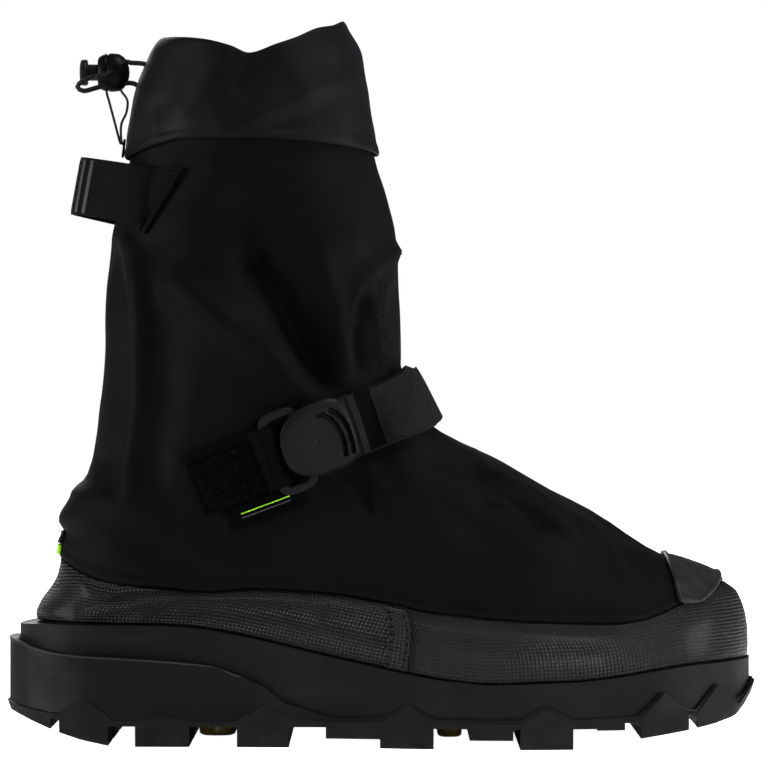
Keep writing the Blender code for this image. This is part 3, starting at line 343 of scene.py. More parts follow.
# Lines on the strap, the front seam and the lock, in millimetres
LEVER_SLOTS = (
    # half width, depth, then the line along the strap and across it
    (0.95, 3.4, (7.2, 10.9, 9.2, 8.7, 10.8, 5.6, 11.8, 1.8, 12.0, -2.0, 11.7, -5.8, 11.2, -9.0)),
    (0.95, 3.4, (3.2, 10.2, 5.6, 7.6, 7.2, 4.3, 8.1, 0.6, 8.3, -2.8, 8.0, -6.2, 7.5, -9.0)),
)
TURN_ROUTE = (
    # along the strap, above the cloth
    (-27.6, 2.2), (-27.2, 3.6), (-26.4, 5.4), (-25.0, 6.4),
    (-22.6, 6.5), (-20.6, 5.9), (-18.9, 4.6), (-17.4, 3.4),
)
SEAM_ROUTE = (
    # x, z
    (6.0, 212.0), (3.0, 204.0), (1.2, 194.0), (0.6, 182.0), (1.8, 172.0), (3.0, 166.0),
)
DRAW_ROUTE = (
    # from the lock's middle: back and forth, across, up
    (15.6, 0.6, 3.0), (13.4, 0.0, 3.8), (10.6, -0.4, 4.1), (7.6, -0.8, 4.2), (5.2, -2.2, 4.6),
    (2.6, -4.6, 2.8), (-0.8, -5.6, 0.0), (-4.2, -6.6, -2.0), (-8.6, -8.2, -2.6), (-12.8, -8.6, -4.4),
    (-15.2, -8.6, -7.0), (-12.6, -8.4, -8.8), (-8.0, -7.2, -7.6), (-4.0, -5.0, -6.2), (0.6, -2.8, -4.9),
    (4.2, -1.5, -5.0), (6.8, -0.6, -4.6), (9.2, -0.4, -5.0), (11.6, 0.4, -6.6),
)
KEEPER_ROUTE = (
    # from the lock's middle: back and forth, across, up
    (3.2, -0.4, -31.6), (2.4, -0.7, -29.4), (0.4, -1.6, -21.5), (-2.0, -1.8, -12.5), (-3.0, -1.3, -8.8),
    (-2.2, -1.1, -5.9), (0.2, -1.0, -4.7), (2.6, -1.0, -5.8), (3.5, -1.0, -8.4), (6.2, -3.0, -12.5),
    (5.8, -4.0, -18.0), (3.6, -3.6, -23.0), (3.4, -2.0, -29.6), (4.2, -1.2, -31.8),
)
LOCK_BODY = (
    # from the bored face to the front: along, radius
    (4.2, 0.0), (4.2, 4.0), (-6.4, 4.0), (-6.9, 4.3), (-6.7, 4.9), (-5.8, 5.6),
    (-4.2, 6.2), (-3.2, 6.45), (-2.8, 6.1), (-2.3, 6.1), (-1.9, 6.5), (0.0, 6.5),
    (2.4, 6.3), (4.4, 5.3), (5.8, 3.7), (6.7, 1.9), (7.0, 0.0),
)
LOCK_BUTTON = (
    # a disc with a shallow dish, on a stem: along, radius
    (-13.9, 0.0), (-14.0, 2.6), (-14.4, 3.6), (-14.6, 4.6), (-14.3, 5.4), (-13.6, 5.8), (-12.2, 5.8),
    (-11.5, 5.5), (-11.4, 4.8), (-11.3, 3.6), (0.6, 3.6), (0.6, 0.0),
)


class OvershoeLooks(bpy.types.PropertyGroup):
    """Colours of the overshoe."""

    cloth: FloatVectorProperty(
        name="Upper cloth", description="Colour of the black upper", subtype="COLOR", size=3,
        default=(0.0022, 0.0022, 0.0026), min=0.0, max=1.0,
    )
    ripstop: FloatVectorProperty(
        name="Cuff", description="Colour of the ripstop cuff", subtype="COLOR", size=3,
        default=(0.0030, 0.0031, 0.0036), min=0.0, max=1.0,
    )
    foxing: FloatVectorProperty(
        name="Foxing", description="Colour of the coarse band over the sole", subtype="COLOR", size=3,
        default=(0.0032, 0.0033, 0.0038), min=0.0, max=1.0,
    )
    rubber: FloatVectorProperty(
        name="Sole rubber", description="Colour of the sole", subtype="COLOR", size=3,
        default=(0.0056, 0.0055, 0.0058), min=0.0, max=1.0,
    )
    webbing: FloatVectorProperty(
        name="Webbing", description="Colour of the straps and the pull loop", subtype="COLOR", size=3,
        default=(0.0048, 0.0052, 0.0049), min=0.0, max=1.0,
    )
    buckle: FloatVectorProperty(
        name="Buckle", description="Colour of the buckle's plastic", subtype="COLOR", size=3,
        default=(0.0056, 0.0058, 0.0064), min=0.0, max=1.0,
    )
    lime: FloatVectorProperty(
        name="Lime trim", description="Colour of the heel tab and a stripe", subtype="COLOR", size=3,
        default=(0.330, 0.720, 0.030), min=0.0, max=1.0,
    )
    amber: FloatVectorProperty(
        name="Grip pads", description="Colour of the ice pads under the sole", subtype="COLOR", size=3,
        default=(0.600, 0.370, 0.060), min=0.0, max=1.0,
    )


class OvershoeSizes(bpy.types.PropertyGroup):
    """Sizes of the overshoe's fine detail."""

    stitch: FloatProperty(
        name="Stitch", description="Length of one stitch", subtype="DISTANCE", unit="LENGTH",
        default=0.0022, min=0.001, max=0.006,
    )
    thread: FloatProperty(
        name="Thread", description="Diameter of the sewing thread", subtype="DISTANCE", unit="LENGTH",
        default=0.0006, min=0.0003, max=0.0015,
    )
    ripstop_grid: FloatProperty(
        name="Ripstop grid", description="Distance between the cuff's thicker threads", subtype="DISTANCE",
        unit="LENGTH", default=0.0040, min=0.002, max=0.01,
    )
    weave: FloatProperty(
        name="Foxing weave", description="Distance between the foxing's rows of dots", subtype="DISTANCE",
        unit="LENGTH", default=0.0017, min=0.001, max=0.005,
    )
    fold_depth: FloatProperty(
        name="Fold depth", description="How deep the folds of the cloth are, as a share of their tables",
        default=1.0, min=0.0, max=1.5, subtype="FACTOR",
    )


def looks():
    return bpy.context.scene.overshoe_looks


def sizes():
    return bpy.context.scene.overshoe_sizes


def between(rows, at, column=1):
    """Smooth value of a table's column at a value of its first column, with no overshoot."""
    if at <= rows[0][0]:
        return rows[0][column]
    if at >= rows[-1][0]:
        return rows[-1][column]
    i = max(n for n in range(len(rows) - 1) if rows[n][0] <= at)

    def step(n):
        return (rows[n + 1][column] - rows[n][column]) / (rows[n + 1][0] - rows[n][0])

    def slope(n):
        if n in (0, len(rows) - 1) or step(n - 1) * step(n) <= 0:
            return 0.0
        return 2 * step(n - 1) * step(n) / (step(n - 1) + step(n))

    width = rows[i + 1][0] - rows[i][0]
    t = (at - rows[i][0]) / width
    start = rows[i][column] * (1 + 2 * t) * (1 - t) ** 2 + slope(i) * width * t * (1 - t) ** 2
    end = rows[i + 1][column] * (3 - 2 * t) * t * t + slope(i + 1) * width * t * t * (t - 1)
    return start + end


def read_once(low, high, value, count=1600):
    """The same function, read at regular places and then looked up, which is much quicker."""
    step = (high - low) / count
    kept = [value(low + step * n) for n in range(count + 1)]

    def read(at):
        t = min(count - 1e-6, max(0.0, (at - low) / step))
        n = int(t)
        return kept[n] + (kept[n + 1] - kept[n]) * (t - n)

    return read


def along_shoe(rows, scale, column=1):
    return read_once(-0.6 * LENGTH, 0.6 * LENGTH, lambda x: scale * between(rows, x / LENGTH, column))


def up_shoe(rows, scale):
    return read_once(0.0, 1.05 * HEIGHT, lambda z: scale * between(rows, z / HEIGHT))


back_x = up_shoe(BACK_LINE, LENGTH)
front_x = up_shoe(FRONT_LINE, LENGTH)
shaft_width = up_shoe(SHAFT, SHAFT_WIDTH / 2)
sole_z = along_shoe(SOLE_LINE, HEIGHT)
hem_z = along_shoe(HEM_LINE, HEIGHT)
tread_z = along_shoe(TREAD_LINE, HEIGHT)
cup_line_z = along_shoe(CUP_LINE, HEIGHT)
plan_width = along_shoe(PLAN, BALL_WIDTH / 2)
bend = along_shoe(PLAN, LENGTH, 2)
cuff_top_z = along_shoe(CUFF_TOP, HEIGHT)
cuff_hem_z = along_shoe(CUFF_HEM, HEIGHT)


def plate_z(x):
    return max(LUG_DEPTH + PLATE_FOLLOW * tread_z(x), tread_z(x) + LUG_LEAST)


def rib_z(x):
    """Top of the pointed ribs that rise from the blocks on the side of the sole."""
    top = plate_z(x) + RIB_RISE
    for start, end, rib in LUGS:
        share = abs(2 * x / LENGTH - start - end) / (end - start)
        if share < 1:
            top += max(0.0, HEIGHT * rib - top) * (1 - share)
    return top


def cup_z(x):
    return max(cup_line_z(x), rib_z(x) + RIB_STEP)


def rounding(distance, length):
    """Share of the full width at a distance from a round end."""
    rest = 1 - min(1.0, max(0.0, distance) / length)
    return math.sqrt(max(0.0, 1 - rest * rest))


def mix(heel, toe, x):
    t = min(1.0, max(0.0, (x / LENGTH + 0.40) / 0.45))
    return heel + (toe - heel) * t * t * (3 - 2 * t)


def instep_over(x):
    top_x = front_x(SHAFT_FOOT)
    if x <= top_x:
        return SHAFT_FOOT + (top_x - x) * 0.25
    low, high = INSTEP_FOOT, SHAFT_FOOT
    for _ in range(26):
        middle = (low + high) / 2
        if front_x(middle) > x:
            low = middle
        else:
            high = middle
    return high


ridge_z = read_once(-0.6 * LENGTH, 0.6 * LENGTH, instep_over)


def foot_half_width(x, z):
    plan = plan_width(x) - mix(TOP_LEDGE_HEEL, TOP_LEDGE_TOE, x)
    heel = rounding(x - back_x(z), HEEL_ROUND)
    toe = rounding(front_x(min(z, INSTEP_FOOT)) - x, TOE_ROUND)
    foot = sole_z(x) - CUP_DEPTH
    share = (z - foot) / max(0.001, ridge_z(x) - foot)
    arch = math.sqrt(max(0.0, 1 - max(0.0, min(1.0, share)) ** ARCH_POWER))
    return plan * heel * toe * arch


def shaft_half_width(x, z):
    front = front_x(z) if z > SHAFT_FOOT else front_x(SHAFT_FOOT)
    back = back_x(z)
    across = (2 * x - front - back) / (front - back)
    if abs(across) >= 1:
        return 0.0
    return shaft_width(z) * math.sqrt(1 - across * across)


def half_width(x, z):
    """Half of the upper's width at a point of its side view."""
    return (foot_half_width(x, z) ** 6 + shaft_half_width(x, z) ** 6) ** (1 / 6)


def ends(height):
    back, front = back_x(height(0.0)), front_x(height(0.0))
    for _ in range(30):
        back = (back + back_x(height(back))) / 2
        front = (front + front_x(height(front))) / 2
    return back, front


def point_on_cut(height, limits, angle):
    back, front = limits
    x = back + (front - back) * (1 - math.cos(angle)) / 2
    z = height(x)
    side = 0.0 if abs(math.sin(angle)) < 1e-6 else math.copysign(half_width(x, z), -math.sin(angle))
    fade = min(1.0, max(0.0, 1 - (z / HEIGHT - FADE_START) / FADE_LENGTH))
    return Vector((x, bend(x) * fade + side, z))


def off_crest(x, z, crest):
    """Distance from a crest of short straight runs, in the side view and in millimetres."""
    best = 1e9
    for n in range(0, len(crest) - 2, 2):
        ax, az, bx, bz = crest[n : n + 4]
        run_x, run_z = bx - ax, bz - az
        share = ((x - ax) * run_x + (z - az) * run_z) / (run_x * run_x + run_z * run_z)
        share = min(1.0, max(0.0, share))
        best = min(best, math.hypot(x - ax - run_x * share, z - az - run_z * share))
    return best


def fold_rise(point, table):
    """How far the folds lift the cloth at a point; the table's crests are in millimetres."""
    x, z = point.x / MM, point.z / MM
    total = 0.0
    for side, half, rise, crest in table:
        if side == "outer" and point.y > 0 or side == "inner" and point.y < 0:
            continue
        if not min(crest[0::2]) - 3 * half < x < max(crest[0::2]) + 3 * half:
            continue
        if not min(crest[1::2]) - 3 * half < z < max(crest[1::2]) + 3 * half:
            continue
        # No fold of one side ends in a step on the line where the two sides meet
        edge = 1.0 if side == "both" else min(1.0, abs(point.y) / 0.006)
        total += edge * rise * math.exp(-((off_crest(x, z, crest) / half) ** 2))
    return total * MM * sizes().fold_depth


def strap_gap(x, z):
    """Height above the strap's middle line, square to it."""
    return (z - STRAP_LEVEL - STRAP_SLOPE * x) / math.sqrt(1 + STRAP_SLOPE**2)


def smooth(low, high, value):
    t = min(1.0, max(0.0, (value - low) / (high - low)))
    return t * t * (3 - 2 * t)


def cloth_rise(point):
    """Folds and soft waves of the upper, pressed flat under the strap, the loop's ends and the toe patch."""
    x, y, z = point
    wave = 0.9 * noise.noise(Vector(point) * 28.0)
    wave += 0.35 * noise.noise(Vector(point) * 70.0 + Vector((7, 3, 1)))
    rise = fold_rise(point, FOLDS) + wave * MM * sizes().fold_depth
    strap = max(smooth(*STRAP_FADE, abs(strap_gap(x, z))), smooth(*STRAP_END_FADE, x))
    label_x, label_z = LABEL_PLACE
    label = 1 - smooth(*LABEL_FADE, math.hypot((x - label_x) * 0.75, z - label_z)) if y < 0 else 0.0
    loop = (1 - smooth(*LOOP_FADE, abs(z - LOOP_PLACE))) * (1 - smooth(*LOOP_FRONT_FADE, x))
    patch = smooth(*PATCH_FADE, x / LENGTH) * smooth(*PATCH_FOOT_FADE, z / HEIGHT)
    tab = 1 - smooth(*TAB_FADE, math.hypot(x - TAB_PLACE[0], z - TAB_PLACE[1]))
    cuff = smooth(*CUFF_FADE, z)
    return rise * strap * (1 - label) * (1 - loop * 0.9) * (1 - patch) * (1 - tab) * (1 - cuff * 0.95)


def hem_rise(point):
    """Shallow grooves that the hem's two rows of stitches pull into the cloth."""
    up = point.z - hem_z(point.x)
    return -HEM_GROOVE * sum(math.exp(-(((up - row) / 0.0006) ** 2)) for row in HEM_STITCHES)


def cut_of_upper(height, angles, out, rise=None):
    """Points round the upper on one cut, moved outwards along its surface and by the folds."""
    step = 0.0008
    turn = 0.015
    limits = ends(height)
    above = ends(lambda x: height(x) + step)
    below = ends(lambda x: height(x) - step)
    points = []
    for angle in angles:
        here = point_on_cut(height, limits, angle)
        along = point_on_cut(height, limits, angle + turn) - point_on_cut(height, limits, angle - turn)
        up = point_on_cut(lambda x: height(x) + step, above, angle)
        up -= point_on_cut(lambda x: height(x) - step, below, angle)
        normal = along.cross(up).normalized()
        points.append(here + normal * (out + (rise(here) if rise else 0.0)))
    return points


def side_point(x, z, out=0.0):
    """Point of the upper's outer side at a place of the side view, and the way out of the cloth there."""
    step = 0.001
    here = Vector((x, bend(x) - half_width(x, z), z))
    wide = (half_width(x + step, z) - half_width(x - step, z)) / (2 * step)
    high = (half_width(x, z + step) - half_width(x, z - step)) / (2 * step)
    normal = Vector((-wide, -1.0, -high)).normalized()
    return here + normal * out, normal


def toe_half_width(x):
    return (plan_width(x) - TOP_LEDGE_TOE) * rounding(front_x(INSTEP_FOOT) - x, TOE_ROUND)


def top_point(x, y, out=0.0):
    """Point on top of the toe over a place of the plan."""

    def height(x, y):
        foot = sole_z(x) - CUP_DEPTH
        across = min(1.0, abs(y) / toe_half_width(x))
        return foot + (ridge_z(x) - foot) * (1 - across**2) ** (1 / ARCH_POWER)

    step = 0.001
    here = Vector((x, y + bend(x), height(x, y)))
    along = (height(x + step, y) - height(x - step, y)) / (2 * step)
    across = (height(x, y + step) - height(x, y - step)) / (2 * step)
    return here + Vector((-along, -across, 1.0)).normalized() * out


def level_height(place):
    """Height over x of a level of the upper; the place runs through the rows of LEVELS and between them."""
    n = min(len(LEVELS) - 2, int(place))
    heel, toe, wave = (LEVELS[n][k] + (LEVELS[n + 1][k] - LEVELS[n][k]) * (place - n) for k in range(3))
    back, front = HEM_LINE[1][0], HEM_LINE[-1][0]
    hem_heel, hem_toe = HEM_LINE[1][1], HEM_LINE[-1][1]

    def height(x):
        share = (x / LENGTH - back) / (front - back)
        line = heel + (toe - heel) * share
        hem = hem_heel + (hem_toe - hem_heel) * share
        return HEIGHT * (line + wave * (hem_z(x) / HEIGHT - hem))

    return height


def foxing_height(share):
    return lambda x: sole_z(x) + (hem_z(x) - sole_z(x)) * share


def strap_place(along, across):
    """Place in the side view, from the buckle's middle along the strap and across it."""
    length = math.sqrt(1 + STRAP_SLOPE**2)
    x = BUCKLE_X + along / length - across * STRAP_SLOPE / length
    z = STRAP_LEVEL + STRAP_SLOPE * BUCKLE_X + along * STRAP_SLOPE / length + across / length
    return x, z


def buckle_matrix(lift):
    """Frame on the strap: X along it, Y across it, Z away from the upper."""
    centre, normal = side_point(*strap_place(0.0, 0.0), lift)
    ahead = side_point(*strap_place(0.002, 0.0), lift)[0] - centre
    along = (ahead - normal * ahead.dot(normal)).normalized()
    across = normal.cross(along)
    return Matrix.Translation(centre) @ Matrix((along, across, normal)).transposed().to_4x4()


def lock_centre():
    return Vector((back_x(LOCK_LEVEL) - LOCK_OFF, LOCK_SIDE, LOCK_LEVEL))


# Materials


class Look:
    """A material while its nodes are being added."""

    def __init__(self, name, colour, roughness, **sockets):
        self.material = bpy.data.materials.new(name)
        self.material.use_nodes = True
        self.tree = self.material.node_tree
        self.shader = self.tree.nodes["Principled BSDF"]
        self.colour = tuple(colour)
        self.shader.inputs["Base Color"].default_value = (*self.colour, 1.0)
        self.shader.inputs["Roughness"].default_value = roughness
        for socket, value in sockets.items():
            self.shader.inputs[socket.replace("_", " ")].default_value = value
        self.coordinates = self.tree.nodes.new("ShaderNodeTexCoord")

    def node(self, kind, **fields):
        made = self.tree.nodes.new(kind)
        for field, value in fields.items():
            setattr(made, field, value)
        return made

    def link(self, source, target):
        self.tree.links.new(source, target)

    def math(self, operation, first, second=None):
        made = self.node("ShaderNodeMath", operation=operation)
        for socket, value in zip(made.inputs, (first, second)):
            if value is None:
                continue
            if isinstance(value, (int, float)):
                socket.default_value = value
            else:
                self.link(value, socket)
        return made.outputs[0]

    def ranged(self, source, low, high, start, end):
        made = self.node("ShaderNodeMapRange")
        for name, value in (("From Min", low), ("From Max", high), ("To Min", start), ("To Max", end)):
            made.inputs[name].default_value = value
        self.link(source, made.inputs["Value"])
        return made.outputs["Result"]

    def noise(self, scale, detail=3.0, stretch=None):
        made = self.node("ShaderNodeTexNoise")
        made.inputs["Scale"].default_value = scale
        made.inputs["Detail"].default_value = detail
        source = self.coordinates.outputs["Object"]
        if stretch:
            mapping = self.node("ShaderNodeMapping")
            mapping.inputs["Scale"].default_value = stretch
            self.link(source, mapping.inputs["Vector"])
            source = mapping.outputs["Vector"]
        self.link(source, made.inputs["Vector"])
        return made.outputs["Fac"]

    def threads(self, along, across):
        """Waves along and across the cloth, from its UV map in metres."""
        parts = self.node("ShaderNodeSeparateXYZ")
        self.link(self.coordinates.outputs["UV"], parts.inputs["Vector"])
        waves = []
        for socket, pitch in (("X", along), ("Y", across)):
            waves.append(self.math("SINE", self.math("MULTIPLY", parts.outputs[socket], 2 * math.pi / pitch)))
        return waves

    def tint(self, factor, other, base=None):
        """Mixes the base colour with another one by a factor."""
        made = self.node("ShaderNodeMix", data_type="RGBA")
        self.link(factor, made.inputs["Factor"])
        if base is None:
            made.inputs["A"].default_value = (*self.colour, 1.0)
        else:
            self.link(base, made.inputs["A"])
        made.inputs["B"].default_value = (*other, 1.0)
        self.link(made.outputs["Result"], self.shader.inputs["Base Color"])
        return made.outputs["Result"]

    def bumps(self, *heights):
        """Chains bumps; each is a socket, a strength and a depth in metres."""
        before = None
        for source, strength, depth in heights:
            made = self.node("ShaderNodeBump")
            made.inputs["Strength"].default_value = strength
            made.inputs["Distance"].default_value = depth
            self.link(source, made.inputs["Height"])
            if before:
                self.link(before, made.inputs["Normal"])
            before = made.outputs["Normal"]
        self.link(before, self.shader.inputs["Normal"])

    def rough(self, source, low, high):
        self.link(self.ranged(source, 0.3, 0.7, low, high), self.shader.inputs["Roughness"])


def shade(colour, factor):
    return tuple(min(1.0, channel * factor) for channel in colour)


def lint(look, base):
    """A few pale specks, as dark cloth picks up."""
    cells = look.node("ShaderNodeTexVoronoi")
    cells.inputs["Scale"].default_value = 130.0
    look.link(look.coordinates.outputs["Object"], cells.inputs["Vector"])
    speck = look.math("LESS_THAN", cells.outputs["Distance"], 0.035)
    few = look.math("GREATER_THAN", look.noise(300.0, 1.0), 0.60)
    return look.tint(look.math("MULTIPLY", look.math("MULTIPLY", speck, few), 0.25), (0.06, 0.06, 0.06), base)


def cloth_look():
    look = Look("Black upper cloth", looks().cloth, 0.62, Specular_IOR_Level=0.035, Sheen_Weight=0.008,
                Sheen_Roughness=0.40)
    look.shader.inputs["Sheen Tint"].default_value = (0.55, 0.60, 0.72, 1.0)
    base = look.tint(look.ranged(look.noise(22.0), 0.35, 0.70, 0.0, 1.0), shade(look.colour, 1.55))
    lint(look, base)
    warp, weft = look.threads(0.0009, 0.0009)
    knit = look.math("MULTIPLY", warp, weft)
    look.rough(look.noise(60.0), 0.55, 0.72)
    look.bumps((knit, 0.35, 0.00008), (look.noise(900.0, 2.0), 0.25, 0.0002))
    return look.material


def ripstop_look():
    look = Look("Ripstop cuff", looks().ripstop, 0.56, Specular_IOR_Level=0.06, Sheen_Weight=0.01,
                Sheen_Roughness=0.40)
    look.shader.inputs["Sheen Tint"].default_value = (0.60, 0.63, 0.70, 1.0)
    grid = sizes().ripstop_grid
    warp, weft = look.threads(grid, grid)
    thick = look.math("MAXIMUM", look.math("POWER", look.math("ABSOLUTE", warp), 24.0),
                      look.math("POWER", look.math("ABSOLUTE", weft), 24.0))
    base = look.tint(look.ranged(look.noise(26.0), 0.35, 0.70, 0.0, 1.0), shade(look.colour, 1.5))
    look.tint(look.math("MULTIPLY", thick, 0.25), shade(look.colour, 1.8), base)
    fine_warp, fine_weft = look.threads(0.0006, 0.0006)
    look.rough(look.noise(50.0), 0.50, 0.64)
    look.bumps((thick, 0.25, 0.0001), (look.math("MULTIPLY", fine_warp, fine_weft), 0.25, 0.00005),
               (look.noise(120.0, 3.0), 0.25, 0.0006))
    return look.material


def foxing_look():
    look = Look("Coarse foxing", looks().foxing, 0.30, Specular_IOR_Level=0.14, Coat_Weight=0.03,
                Coat_Roughness=0.20)
    pitch = sizes().weave
    warp, weft = look.threads(pitch * 2, pitch * 1.85)
    knots = look.math("MULTIPLY", look.math("ABSOLUTE", warp), look.math("ABSOLUTE", weft))
    # The raised knots are painted lighter than the foxing: a painted highlight on their tops
    knot_highlight = look.ranged(knots, 0.15, 0.85, 0.0, 1.0)
    base = look.tint(knot_highlight, shade(look.colour, 2.6))
    look.tint(look.ranged(look.noise(30.0), 0.45, 0.75, 0.0, 0.5), shade(look.colour, 0.7), base)
    look.rough(look.noise(180.0), 0.26, 0.46)
    look.bumps((knots, 0.9, 0.0005), (look.noise(700.0, 2.0), 0.2, 0.0002))
    return look.material


def webbing_look(name, colour, gloss=0.06):
    look = Look(name, colour, 0.55, Specular_IOR_Level=gloss, Sheen_Weight=0.006, Sheen_Roughness=0.4)
    warp, weft = look.threads(0.0016, 0.0011)
    ribs = look.math("MULTIPLY", warp, weft)
    base = look.tint(look.ranged(ribs, -0.6, 1.0, 0.0, 1.0), shade(look.colour, 1.9))
    look.tint(look.ranged(look.noise(90.0), 0.45, 0.75, 0.0, 0.6), shade(look.colour, 0.6), base)
    look.bumps((ribs, 0.6, 0.00025), (look.noise(1200.0, 1.0), 0.2, 0.0002))
    return look.material


def pile_look():
    look = Look("Loop pile", shade(looks().webbing, 0.22), 0.95, Specular_IOR_Level=0.02, Sheen_Weight=0.004)
    loops = look.noise(950.0, 3.0)
    look.tint(look.ranged(loops, 0.50, 0.72, 0.0, 1.0), shade(look.colour, 6.0))
    look.bumps((loops, 1.0, 0.0012))
    return look.material


def rubber_look():
    look = Look("Sole rubber", looks().rubber, 0.50, Specular_IOR_Level=0.07)
    place = look.node("ShaderNodeSeparateXYZ")
    look.link(look.coordinates.outputs["Object"], place.inputs["Vector"])
    base = look.tint(look.ranged(look.noise(35.0, 5.0), 0.40, 0.72, 0.0, 1.0), shade(look.colour, 1.5))
    low = look.ranged(place.outputs["Z"], 0.0, 0.012, 1.0, 0.0)
    dust = look.math("MULTIPLY", low, look.ranged(look.noise(160.0, 4.0), 0.40, 0.62, 0.0, 1.0))
    base = look.tint(look.math("MULTIPLY", dust, 0.45), (0.022, 0.020, 0.019), base)
    scuffs = look.ranged(look.noise(28.0, 6.0, stretch=(0.5, 1.0, 3.0)), 0.60, 0.72, 0.0, 0.35)
    look.tint(scuffs, (0.018, 0.017, 0.017), base)
    look.rough(look.noise(45.0, 4.0), 0.40, 0.62)
    look.bumps((look.noise(1400.0, 2.0), 0.15, 0.0002), (look.noise(220.0, 3.0), 0.12, 0.0004))
    return look.material


def patch_look():
    look = Look("Moulded toe patch", shade(looks().rubber, 2.3), 0.40, Specular_IOR_Level=0.10)
    look.tint(look.ranged(look.noise(140.0, 4.0), 0.45, 0.70, 0.0, 0.7), shade(look.colour, 1.9))
    look.rough(look.noise(200.0), 0.34, 0.52)
    look.bumps((look.noise(1500.0, 2.0), 0.35, 0.0002))
    return look.material


def plastic_look(name, colour, roughness, gloss=0.10):
    look = Look(name, colour, roughness, Specular_IOR_Level=gloss)
    look.tint(look.ranged(look.noise(120.0, 4.0), 0.40, 0.72, 0.0, 0.6), shade(colour, 1.35))
    look.rough(look.noise(300.0), roughness - 0.06, roughness + 0.08)
    look.bumps((look.noise(1800.0, 2.0), 0.25, 0.0001), (look.noise(160.0, 2.0), 0.06, 0.0004))
    return look.material


def foam_look():
    look = Look("Insole felt", (0.050, 0.050, 0.052), 0.92, Sheen_Weight=0.3, Sheen_Roughness=0.5)
    fibres = look.noise(650.0, 4.0)
    look.tint(look.ranged(fibres, 0.40, 0.65, 0.0, 1.0), (0.085, 0.085, 0.088))
    look.bumps((fibres, 0.5, 0.0006))
    return look.material


def tape_look(name, colour, gloss=0.10):
    look = Look(name, colour, 0.55, Specular_IOR_Level=gloss)
    ribs = look.noise(1100.0, 2.0)
    look.tint(look.ranged(ribs, 0.42, 0.62, 0.0, 0.6), shade(colour, 0.72))
    look.bumps((ribs, 0.5, 0.0003))
    return look.material


def cord_look():
    look = Look("Braided cord", (0.006, 0.006, 0.007), 0.55, Specular_IOR_Level=0.2)
    warp, weft = look.threads(0.0016, 0.0022)
    braid = look.math("MULTIPLY", warp, weft)
    look.tint(look.ranged(braid, -0.3, 0.9, 0.0, 1.0), (0.016, 0.016, 0.017))
    look.bumps((braid, 0.8, 0.0003))
    return look.material


def amber_look():
    look = Look("Amber grip pad", looks().amber, 0.34, Coat_Weight=0.3, Subsurface_Weight=0.2)
    look.shader.inputs["Subsurface Radius"].default_value = (0.004, 0.002, 0.001)
    grit = look.noise(700.0, 3.0)
    look.tint(look.ranged(grit, 0.45, 0.68, 0.0, 0.8), (0.82, 0.66, 0.30))
    look.bumps((grit, 0.5, 0.0006))
    return look.material


FINISHES = {
    "cloth": cloth_look,
    "ripstop": ripstop_look,
    "foxing": foxing_look,
    "webbing": lambda: webbing_look("Black webbing", looks().webbing),
    "tail webbing": lambda: webbing_look("Tail webbing", shade(looks().webbing, 0.18), 0.018),
    # Darker copy of the strap's webbing: painted shade that offsets the light falling on the loop
    "shaded loop webbing": lambda: webbing_look("Loop webbing darkened as painted shade", shade(looks().webbing, 0.42), 0.035),
    # Four times lighter than the sole's rubber: a painted highlight along the heel cup's lip
    "lip": lambda: plastic_look("Heel cup lip painted highlight", shade(looks().rubber, 4.0), 0.45),
    "pile": pile_look,
    "rubber": rubber_look,
    "patch": patch_look,
    "foam": foam_look,
    "cord": cord_look,
    "amber": amber_look,
    "buckle": lambda: plastic_look("Buckle plastic", looks().buckle, 0.42, 0.07),
    "lock": lambda: plastic_look("Lock plastic", (0.003, 0.003, 0.0034), 0.36, 0.06),
    "button": lambda: plastic_look("Button plastic", (0.011, 0.0115, 0.0125), 0.40),
    "lime": lambda: tape_look("Lime tape", looks().lime),
    "grey tape": lambda: tape_look("Grey tape", (0.050, 0.050, 0.053)),
    "thread": lambda: tape_look("Black thread", (0.0022, 0.0022, 0.0026), 0.03),
}
MADE = {}


def finish(name):
    if name not in MADE:
        MADE[name] = FINISHES[name]()
    return MADE[name]


# Shapes


def piece_from(name, form, look, nodes=(), body="shoe", closed=True, angle=40):
    """Makes the mesh an object of the shoe that rides on a body."""
    if closed:
        bmesh.ops.recalc_face_normals(form, faces=form.faces)
    data = bpy.data.meshes.new(name)
    form.to_mesh(data)
    form.free()
    data.shade_smooth()
    if angle:
        data.set_sharp_from_angle(angle=math.radians(angle))
    data.materials.append(finish(look))
    thing = bpy.data.objects.new(name, data)
    bpy.context.scene.collection.objects.link(thing)
    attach(thing, body)
    if nodes:
        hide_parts(*nodes)
    return thing


def grid_form(points, join=False, flip=False):
    """Sheet through rows of points, with a UV map that measures the cloth in metres."""
    rows, columns = len(points), len(points[0])
    form = bmesh.new()
    bmesh.ops.create_grid(form, x_segments=columns - 1, y_segments=rows - 1, size=1.0)
    uv = form.loops.layers.uv.new("cloth")
    across = []
    for row in points:
        length, kept = 0.0, [0.0]
        for before, after in zip(row, row[1:]):
            length += (after - before).length
            kept.append(length)
        across.append([value - length / 2 for value in kept])
    upward = [[0.0] * columns]
    for before, after in zip(points, points[1:]):
        upward.append([base + (b - a).length for base, a, b in zip(upward[-1], before, after)])
    places = {}
    for vert in form.verts:
        j = round((vert.co.x + 1) / 2 * (columns - 1))
        i = round((vert.co.y + 1) / 2 * (rows - 1))
        places[vert] = (i, j)
    for face in form.faces:
        for corner in face.loops:
            i, j = places[corner.vert]
            corner[uv].uv = (across[i][j], upward[i][j])
    for vert, (i, j) in places.items():
        vert.co = points[i][j]
    if join:
        bmesh.ops.remove_doubles(form, verts=form.verts, dist=1e-6)
    if flip:
        bmesh.ops.reverse_faces(form, faces=form.faces)
    return form


def thicken(thing, thickness):
    """Gives a sheet its thickness, inwards from its points."""
    wall = thing.modifiers.new("wall", "SOLIDIFY")
    wall.thickness = thickness
    wall.offset = -1.0
    wall.use_even_offset = False


